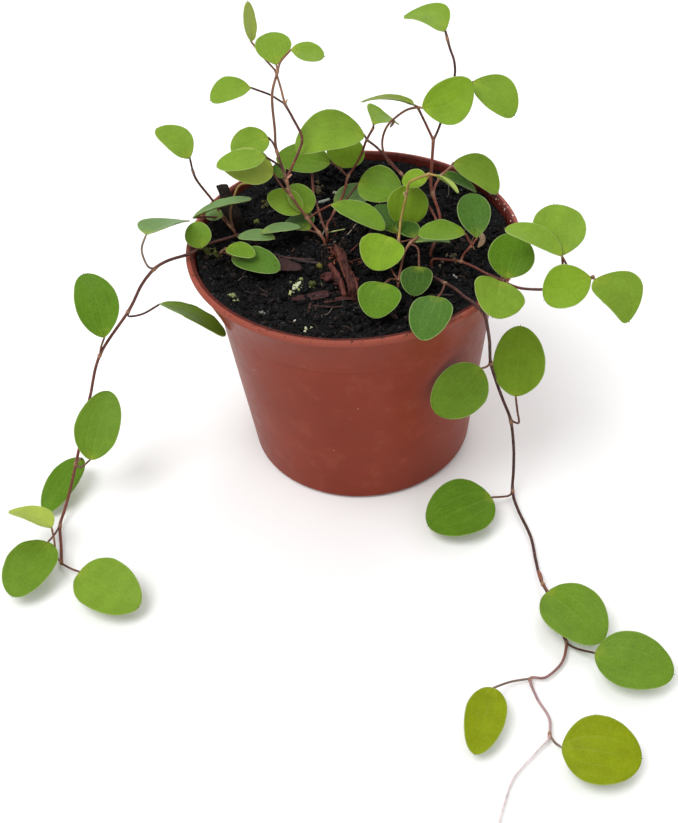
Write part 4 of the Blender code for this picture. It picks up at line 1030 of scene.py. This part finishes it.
def pale_piece(material):
    """Pale crumbs of old moss and lime, and a few white grains, where the soil shows them."""
    rng = random.Random(SEED + 2)
    shape = Shape()
    form = lump_form(2)
    groups = [
        ((-16.2, -14.9), 2.1, 30, (0.2, 0.5), rgb(206, 210, 176)),
        ((-16.0, -15.2), 2.3, 16, (0.2, 0.5), rgb(132, 142, 88)),
        ((-16.4, -14.6), 1.7, 12, (0.15, 0.35), rgb(228, 228, 214)),
        ((-17.6, -17.2), 0.9, 4, (0.3, 0.6), rgb(190, 192, 130)),
        ((-11.9, -14.1), 0.3, 3, (0.7, 1.0), rgb(72, 76, 42)),
        ((-11.6, -14.3), 1.5, 10, (0.2, 0.4), rgb(104, 110, 62)),
        ((-33.1, -19.1), 0.3, 3, (0.9, 1.1), rgb(128, 136, 88)),
        ((-33.3, -19.3), 1.5, 8, (0.2, 0.45), rgb(160, 166, 120)),
        ((-39.2, 1.4), 2.2, 46, (0.25, 0.6), rgb(84, 88, 40)),
        ((-38.9, 0.4), 1.9, 18, (0.2, 0.45), rgb(140, 142, 86)),
        ((-39.3, 2.2), 1.5, 8, (0.15, 0.35), rgb(196, 190, 150)),
        ((-9.6, -6.2), 0.3, 2, (0.6, 0.9), rgb(98, 96, 40)),
        ((26.0, -8.0), 2.6, 22, (0.25, 0.6), rgb(118, 106, 90)),
        ((27.0, -9.4), 2.2, 12, (0.15, 0.35), rgb(170, 158, 138)),
        ((-13.8, -33.2), 1.5, 7, (0.2, 0.5), rgb(196, 196, 160)),
        ((-16.8, -28.7), 0.4, 2, (0.2, 0.4), rgb(226, 224, 210)),
        ((-40.2, 1.9), 1.1, 8, (0.4, 0.8), rgb(92, 96, 54)),
        ((-27.1, 17.0), 1.0, 6, (0.4, 0.9), rgb(104, 114, 58)),
        ((-32.0, 17.2), 0.3, 2, (0.25, 0.4), rgb(226, 224, 214)),
        ((-4.0, 30.5), 0.7, 4, (0.3, 0.5), rgb(214, 212, 190)),
        ((26.2, -14.9), 0.9, 5, (0.2, 0.45), rgb(168, 166, 160)),
        ((-25.4, -23.9), 1.6, 9, (0.2, 0.5), rgb(120, 124, 116)),
        ((-8.0, 33.5), 2.2, 9, (0.4, 0.9), rgb(104, 90, 66)),
        ((-24.0, 27.0), 2.0, 9, (0.4, 0.9), rgb(74, 70, 44)),
    ]
    for place, spread, count, sizes, tone in groups:
        for index in range(count):
            x = place[0] + rng.gauss(0, spread / 2)
            y = place[1] + rng.gauss(0, spread / 2)
            if math.hypot(x, y) > soil_edge() - 1.2:
                continue
            size = rng.uniform(*sizes)
            seed = 900 + index + int(spread * 50)
            lump(shape, form, on_soil(x, y, 0.5 * size), size, 0.85, tone, seed, 0.45)
    return shape.piece("pale_crumbs", [material], "potting_soil")


TWIG_TONES = {"grey": rgb(58, 50, 49), "stub": rgb(176, 186, 172), "hair": rgb(186, 192, 128),
              "red": rgb(92, 48, 40), "brown": rgb(62, 42, 36), "pale": rgb(150, 140, 126)}
TWIGS = [
    ([(-34, 8.5), (-28, 3.5), (-22, 0.0), (-15, -3.2), (-9, -5.4)], 0.38, "grey"),
    ([(-33, 7.2), (-26, 1.4), (-19, -1.8), (-11, -3.0)], 0.26, "red"),
    ([(-30, 4.4), (-24, 0.2), (-17, -2.6), (-11, -3.0)], 0.28, "grey"),
    ([(-10.4, 24.6), (-8, 25.0), (-5.6, 25.6)], 0.42, "stub"),
    ([(-7.4, 9.0), (-5.8, 8.4), (-1.2, 9.6)], 0.16, "hair"),
    ([(-8.6, 7.4), (-7.4, 11.0), (-8.8, 15.0)], 0.20, "pale"),
    ([(-9.4, 5.0), (-10.8, 8.4), (-9.8, 13.6)], 0.18, "brown"),
    ([(-6.2, 5.6), (-4.2, 9.8), (-4.8, 14.2)], 0.17, "red"),
    ([(-5.2, 4.4), (-1.6, 7.0), (1.4, 12.4)], 0.16, "pale"),
    ([(-9.6, 13.6), (-6.5, 14.4), (-3.8, 15.2)], 0.30, "grey"),
    ([(-2, -2), (2, 3), (5, 8)], 0.26, "red"),
    ([(-4, 2), (-2, 8), (0.5, 13)], 0.24, "brown"),
    ([(1, -6), (6, -3), (9.5, 1.5)], 0.24, "red"),
    ([(-1, -4.5), (3.5, -2.6), (6.0, 1.0)], 0.18, "red"),
    ([(2.4, -9.0), (4.0, -5.4), (3.2, -1.4)], 0.16, "brown"),
    ([(-12, -24), (-6, -24.8), (-1, -23.2), (4, -20.5)], 0.26, "brown"),
    ([(-1, -27), (4, -26.4), (8, -28.2)], 0.22, "grey"),
    ([(3, -22), (5, -25), (4, -29)], 0.22, "brown"),
    ([(15, -24), (20, -22), (25, -23.5)], 0.28, "grey"),
    ([(22, 6), (28, 4), (33, 6.5)], 0.30, "grey"),
    ([(-24, 22), (-17, 24.5), (-12, 23)], 0.28, "grey"),
    ([(16, 22), (22, 25), (26, 23)], 0.28, "grey"),
]


def twigs_piece(material):
    shape = Shape()
    for index, (points, radius, tone) in enumerate(TWIGS):
        path = smooth_path([on_soil(x, y, radius * 0.8 + 0.25) for x, y in points], 0.7)
        knots = 1 + 0.22 * wobble(np.arange(len(path)) * 0.6, index, 3)
        rod(shape, path, radius * knots, TWIG_TONES[tone], 0, 9, 0, 0.14, 300 + index)
    return shape.piece("twigs", [material], "bark")


def root_piece(material):
    """Knobbly old root: two limbs, strands twisted round one, torn fibres and side lobes."""
    shape = Shape()
    limbs = []
    for points, radius, swell, pace, sides, rough, tone, seed in ROOT_LIMBS:
        path = smooth_path(points, 0.5)
        radii = radius * (1 + swell * wobble(np.arange(len(path)) * pace, seed[0], 1))
        rod(shape, path, radii, tone, 0, sides, 0, rough, seed[1])
        limbs.append(path)
    body = limbs[0][limbs[0][:, 2] > 65.5]
    tangents, first, second = across_frames(body)
    for number, (phase, away, radius, tone) in enumerate(ROOT_STRANDS):
        turn = phase + np.linspace(0, 3.6, len(body))
        path = body + first * (np.cos(turn) * away)[:, None] + second * (np.sin(turn) * away)[:, None]
        path[:, 2] = np.maximum(path[:, 2], 65.2)
        radii = radius * (1 + 0.3 * wobble(np.arange(len(path)) * 0.3, number, 4))
        rod(shape, path, radii, tone, 0, 14, 0, 0.35, 60 + number)
    rng = random.Random(SEED + 6)
    for index in range(ROOT_FIBRES):
        start = Vector((rng.gauss(-4.9, 0.8), rng.gauss(-3.2, 1.7), 66.8 + rng.uniform(0, 0.9)))
        heading = Vector((rng.gauss(0, 0.5), rng.gauss(-0.7, 0.5), rng.uniform(-0.1, 0.5))).normalized()
        length = rng.uniform(1.2, 3.4)
        bow = Vector((rng.gauss(0, 0.3), 0, rng.uniform(0.1, 0.5)))
        path = smooth_path([start, start + heading * length * 0.5 + bow, start + heading * length], 0.5)
        rod(shape, path, rng.uniform(0.09, 0.19), rng.choice(ROOT_FIBRE_TONES), 0, 5, 0, 0.15, 500 + index)
    form = lump_form(3)
    for index, (place, size, squash, tone) in enumerate(ROOT_LOBES):
        lump(shape, form, place, size, squash, tone, 700 + index, 0.5)
    return shape.piece("old_root_wood", [material], "old_root", "root_crown")


def flake(shape, points, width, thickness, tone, seed, twist=0.0):
    """A flat splinter or curl of bark along a path."""
    path = smooth_path(points, 0.6)
    _, first, second = across_frames(path)
    turns = np.linspace(0, 2 * math.pi, 16, endpoint=False)
    share = np.linspace(0, 1, len(path))
    taper = np.sin(np.pi * (0.08 + 0.84 * share)) ** 0.6
    edge = 1 + 0.22 * wobble(share * 6, seed, 2)
    swing = twist * share
    flat = first * np.cos(swing)[:, None] + second * np.sin(swing)[:, None]
    thick = second * np.cos(swing)[:, None] - first * np.sin(swing)[:, None]
    rings = (path[:, None, :]
             + flat[:, None, :] * (np.cos(turns)[None, :] * (width / 2 * taper * edge)[:, None])[:, :, None]
             + thick[:, None, :] * (np.sin(turns) * thickness / 2)[None, :, None])
    shape.skin(rings, tone, np.zeros(4), 0, path[0], path[-1])


def flakes_piece(material):
    """Bark flakes and a curled dry scrap on the soil."""
    shape = Shape()
    rng = random.Random(SEED + 4)

    def grounded(points, lift):
        return [on_soil(x, y, lift) for x, y in points]

    flake(shape, grounded([(-17.5, -20.6), (-13, -19.6), (-8.5, -19.0), (-4.4, -18.7)], 0.5), 3.0, 0.5,
          rgb(58, 34, 34), 1, 0.2)
    flake(shape, grounded([(-9, -22.5), (-4, -21.6), (0.5, -21.9)], 0.4), 1.6, 0.4, rgb(66, 38, 36), 2)
    flake(shape, [(34.0, -4.2, 66.0), (35.4, -3.0, 67.6), (34.6, -1.6, 69.2), (33.4, -1.4, 70.0)], 1.7,
          0.25, rgb(176, 146, 118), 3, 1.8)
    flake(shape, [(33.0, -4.6, 65.6), (32.4, -3.0, 66.8), (33.2, -1.8, 68.4)], 0.8, 0.2,
          rgb(150, 116, 92), 4, 1.2)
    for index in range(46):
        x, y = scattered(rng, soil_edge() - 5)
        heading = rng.uniform(0, ABOUT_A_TURN)
        length = rng.uniform(1.6, 4.6)
        points = [(x + math.cos(heading) * length * s, y + math.sin(heading) * length * s)
                  for s in (-0.5, 0, 0.5)]
        tone = rng.choice([rgb(30, 24, 24), rgb(42, 30, 30), rgb(24, 22, 22), rgb(58, 40, 36)])
        flake(shape, grounded(points, 0.35), rng.uniform(0.5, 1.5), 0.35, tone, 20 + index,
              rng.uniform(-0.6, 0.6))
    return shape.piece("bark_flakes", [material], "bark")


def bark_piece(material):
    """The standing sliver of bark: an upright slab with split ridges and a broken top."""
    low, high = SOIL_LEVEL_Z - BARK_SUNK, SOIL_LEVEL_Z - BARK_SUNK + BARK_SIZE[2]
    levels = np.linspace(low, high - 0.6, 34)
    turns = np.linspace(0, 2 * math.pi, 40, endpoint=False)
    rings = []
    for z in levels:
        rise = max(0.0, z - SOIL_LEVEL_Z - BARK_UPRIGHT)
        ring = []
        for t in turns:
            reach = 1 / max(abs(math.cos(t)) ** 4 + abs(math.sin(t)) ** 4, 0.001) ** 0.25
            ridge = 1 - 0.20 * abs(noise.noise(Vector((*polar(2.2, t), z * 0.10))) * 2)
            ridge -= 0.09 * abs(noise.noise(Vector((*polar(6, t), z * 0.5))))
            scale = reach * ridge * (1 - min(0.24, 0.035 * rise))
            broken = 0.0 if z < high - 1.5 else 0.8 * noise.noise(Vector((*polar(3, t), 4)))
            ring.append((BARK_PLACE[0] + BARK_LEAN[0] * rise + BARK_SIZE[0] / 2 * math.cos(t) * scale,
                         BARK_PLACE[1] + BARK_LEAN[1] * rise + BARK_SIZE[1] / 2 * math.sin(t) * scale,
                         z + broken))
        rings.append(ring)
    rings = np.array(rings)
    shape = Shape()
    shape.skin(rings, rgb(40, 33, 29), np.zeros(4), 0, rings[0].mean(axis=0),
               rings[-1].mean(axis=0) - (0, 0, 0.7))
    return shape.piece("bark_splinter", [material], "bark", "bark_chip")


def dry_leaf_piece(material):
    shape = Shape()
    blade(shape, DRY_LEAF, 77, (*rgb(56, 34, 34)[:3], 0.6), 0.3, 0.07)
    return shape.piece("dry_leaf", [material], "dry_leaf", "dead_leaf")


def dry_paint():
    paint = Paint("dry leaf", Specular_IOR_Level=0.15)
    tone = paint.attribute("tone").outputs["Color"]
    _, _, vein = paint.split(paint.attribute("marks").outputs["Color"])
    crinkle = paint.noise(1.0, 4.0, 0.65)
    colour = paint.shade(tone, paint.vary(crinkle, 0.6, 1.4))
    colour = paint.mix(paint.times(vein, 0.5), colour, rgb(58, 34, 32))
    return paint.finish(colour, paint.vary(crinkle, 0.5, 0.75), paint.bump(crinkle, 0.8, 0.3))


def pot_profile():
    """Half of the pot's section, from the floor's middle up the inside and down the outside."""
    inner_base = BASE_RADIUS - WALL
    lip_foot = POT_HEIGHT - LIP_HEIGHT
    points = [(0, FLOOR), (inner_base - 1.0, FLOOR), (inner_base - 0.2, FLOOR + 0.35),
              (inner_base + 0.1, FLOOR + 1.1)]
    points += [(BODY_TOP_RADIUS - WALL, LEDGE_Z), (INNER_FOOT_RADIUS, COLLAR_FOOT_Z)]
    points += [(INNER_TOP_RADIUS, INNER_TOP_Z), (INNER_TOP_RADIUS + 0.2, POT_HEIGHT - 0.5)]
    points += [(INNER_TOP_RADIUS + 0.35, POT_HEIGHT - 0.2), (INNER_TOP_RADIUS + 0.65, POT_HEIGHT)]
    points += [(RIM_RADIUS - 0.8, POT_HEIGHT), (RIM_RADIUS - 0.4, POT_HEIGHT - 0.12)]
    points += [(RIM_RADIUS - 0.12, POT_HEIGHT - 0.35), (RIM_RADIUS, POT_HEIGHT - 0.75)]
    points += [(RIM_RADIUS - 0.05, lip_foot + 0.3), (RIM_RADIUS - 0.25, lip_foot + 0.08)]
    points += [(COLLAR_TOP_RADIUS + 0.1, lip_foot), (COLLAR_TOP_RADIUS - 0.05, lip_foot - 0.2)]
    points += [(COLLAR_FOOT_RADIUS, COLLAR_FOOT_Z), (COLLAR_FOOT_RADIUS - 0.12, COLLAR_FOOT_Z - 0.6)]
    points += [(COLLAR_FOOT_RADIUS - 0.4, LEDGE_Z + 0.4), (COLLAR_FOOT_RADIUS - 0.9, LEDGE_Z + 0.1)]
    points += [(BODY_TOP_RADIUS + 0.1, LEDGE_Z), (BODY_TOP_RADIUS - 0.05, LEDGE_Z - 0.4)]
    for step in range(7):
        turn = math.radians(90 * step / 6)
        points.append((BASE_RADIUS - BASE_ROUNDING * (1 - math.cos(turn)),
                       BASE_ROUNDING * (1 - math.sin(turn))))
    points.append((0, 0))
    return points


def pot_piece(material):
    build = bmesh.new()
    corners = [build.verts.new((r * MM, 0, z * MM)) for r, z in pot_profile()]
    edges = [build.edges.new(pair) for pair in zip(corners, corners[1:])]
    bmesh.ops.spin(build, geom=corners + edges, cent=(0, 0, 0), axis=(0, 0, 1), angle=2 * math.pi,
                   steps=POT_STEPS, use_merge=True)
    bmesh.ops.remove_doubles(build, verts=build.verts, dist=0.00001)
    bmesh.ops.recalc_face_normals(build, faces=build.faces)
    mesh = mesh_from(build, "pot_shell")
    mesh.materials.append(material)
    pot = linked("pot_body", mesh)
    drills = bpy.data.collections.new("drills")
    for index in range(DRAIN_COUNT):
        place = polar(DRAIN_RING_RADIUS, 2 * math.pi * (index + 0.5) / DRAIN_COUNT)
        drill = bmesh.new()
        bmesh.ops.create_cone(drill, cap_ends=True, segments=32, radius1=DRAIN_RADIUS * MM,
                              radius2=DRAIN_RADIUS * MM, depth=8 * MM)
        bmesh.ops.translate(drill, verts=drill.verts, vec=Vector((*place, 0)) * MM)
        drills.objects.link(bpy.data.objects.new("drill", mesh_from(drill, "drill")))
    hollow = pot.modifiers.new("drains", "BOOLEAN")
    hollow.operation = "DIFFERENCE"
    hollow.operand_type = "COLLECTION"
    hollow.collection = drills
    hollow.solver = "MANIFOLD"
    final = bpy.data.meshes.new_from_object(pot.evaluated_get(bpy.context.evaluated_depsgraph_get()))
    for done in [pot, *drills.objects]:
        bpy.data.objects.remove(done, do_unlink=True)
    final.polygons.foreach_set("use_smooth", [True] * len(final.polygons))
    final.set_sharp_from_angle(angle=math.radians(35))
    return placed("pot_shell", final, "pot_plastic", "pot")


def camera():
    """The photograph's view: its tilt, its small roll and its focal length."""
    tilt, roll = math.radians(CAMERA_TILT), math.radians(CAMERA_ROLL)
    forward = Vector((0, math.cos(tilt), -math.sin(tilt)))
    level = Vector((1, 0, 0))
    rise = Vector((0, math.sin(tilt), math.cos(tilt)))
    right = level * math.cos(roll) - rise * math.sin(roll)
    above = level * math.sin(roll) + rise * math.cos(roll)
    turn = Matrix((right, above, -forward)).transposed().to_4x4()
    data = bpy.data.cameras.new("camera")
    data.lens = SENSOR * FOCAL_PIXELS / IMAGE_HEIGHT
    data.sensor_width = SENSOR
    data.clip_start = 0.01
    made = linked("camera", data)
    made.matrix_world = Matrix.Translation(Vector(CAMERA_PLACE) * MM) @ turn
    bpy.context.scene.camera = made


def lamp(name, place, aim, power):
    data = bpy.data.lights.new(name, "AREA")
    data.shape = "DISK"
    data.size = 0.6
    data.energy = power
    made = linked(name, data)
    made.location = place
    made.rotation_euler = (Vector(aim) - Vector(place)).to_track_quat("-Z", "Y").to_euler()


def studio():
    """Soft white light from all round, two large lamps and a plain pale floor."""
    world = bpy.data.worlds.new("studio")
    world.use_nodes = True
    sky = world.node_tree.nodes["Background"]
    sky.inputs["Color"].default_value = (1, 1, 1, 1)
    sky.inputs["Strength"].default_value = 0.80
    bpy.context.scene.world = world
    bpy.context.scene.view_settings.view_transform = "Standard"
    lamp("key", (-0.35, -0.25, 0.85), (0, -0.02, 0.05), 5.0)
    lamp("back", (0.25, 0.60, 0.75), (0, 0, 0.05), 2.4)
    build = bmesh.new()
    bmesh.ops.create_grid(build, x_segments=12, y_segments=12, size=FLOOR_HALF)
    bmesh.ops.translate(build, verts=build.verts, vec=(0, 0, -FLOOR_DROP * MM))
    mesh = mesh_from(build, "floor")
    mesh.materials.append(floor_paint())
    floor = linked("floor", mesh)


camera()
studio()
pot_piece(pot_paint())
peat = soil_paint()
soil_piece(peat)
litter = bit_paint("litter", 0.6, 0.9, 0.4)
crumbs_piece(peat)
fibres_piece(litter)
pale_piece(bit_paint("pale crumb", 0.7, 0.95, 0.22))
twigs_piece(litter)
flakes_piece(litter)
root_piece(wood_paint())
bark_piece(bit_paint("bark", 0.7, 0.95, 0.45))
dry_leaf_piece(dry_paint())
plant_materials = [leaf_paint(), stem_paint()]
buds_piece(plant_materials)
for number, (name, row) in enumerate(STEMS.items()):
    leafy_stem(name, row, number, plant_materials)
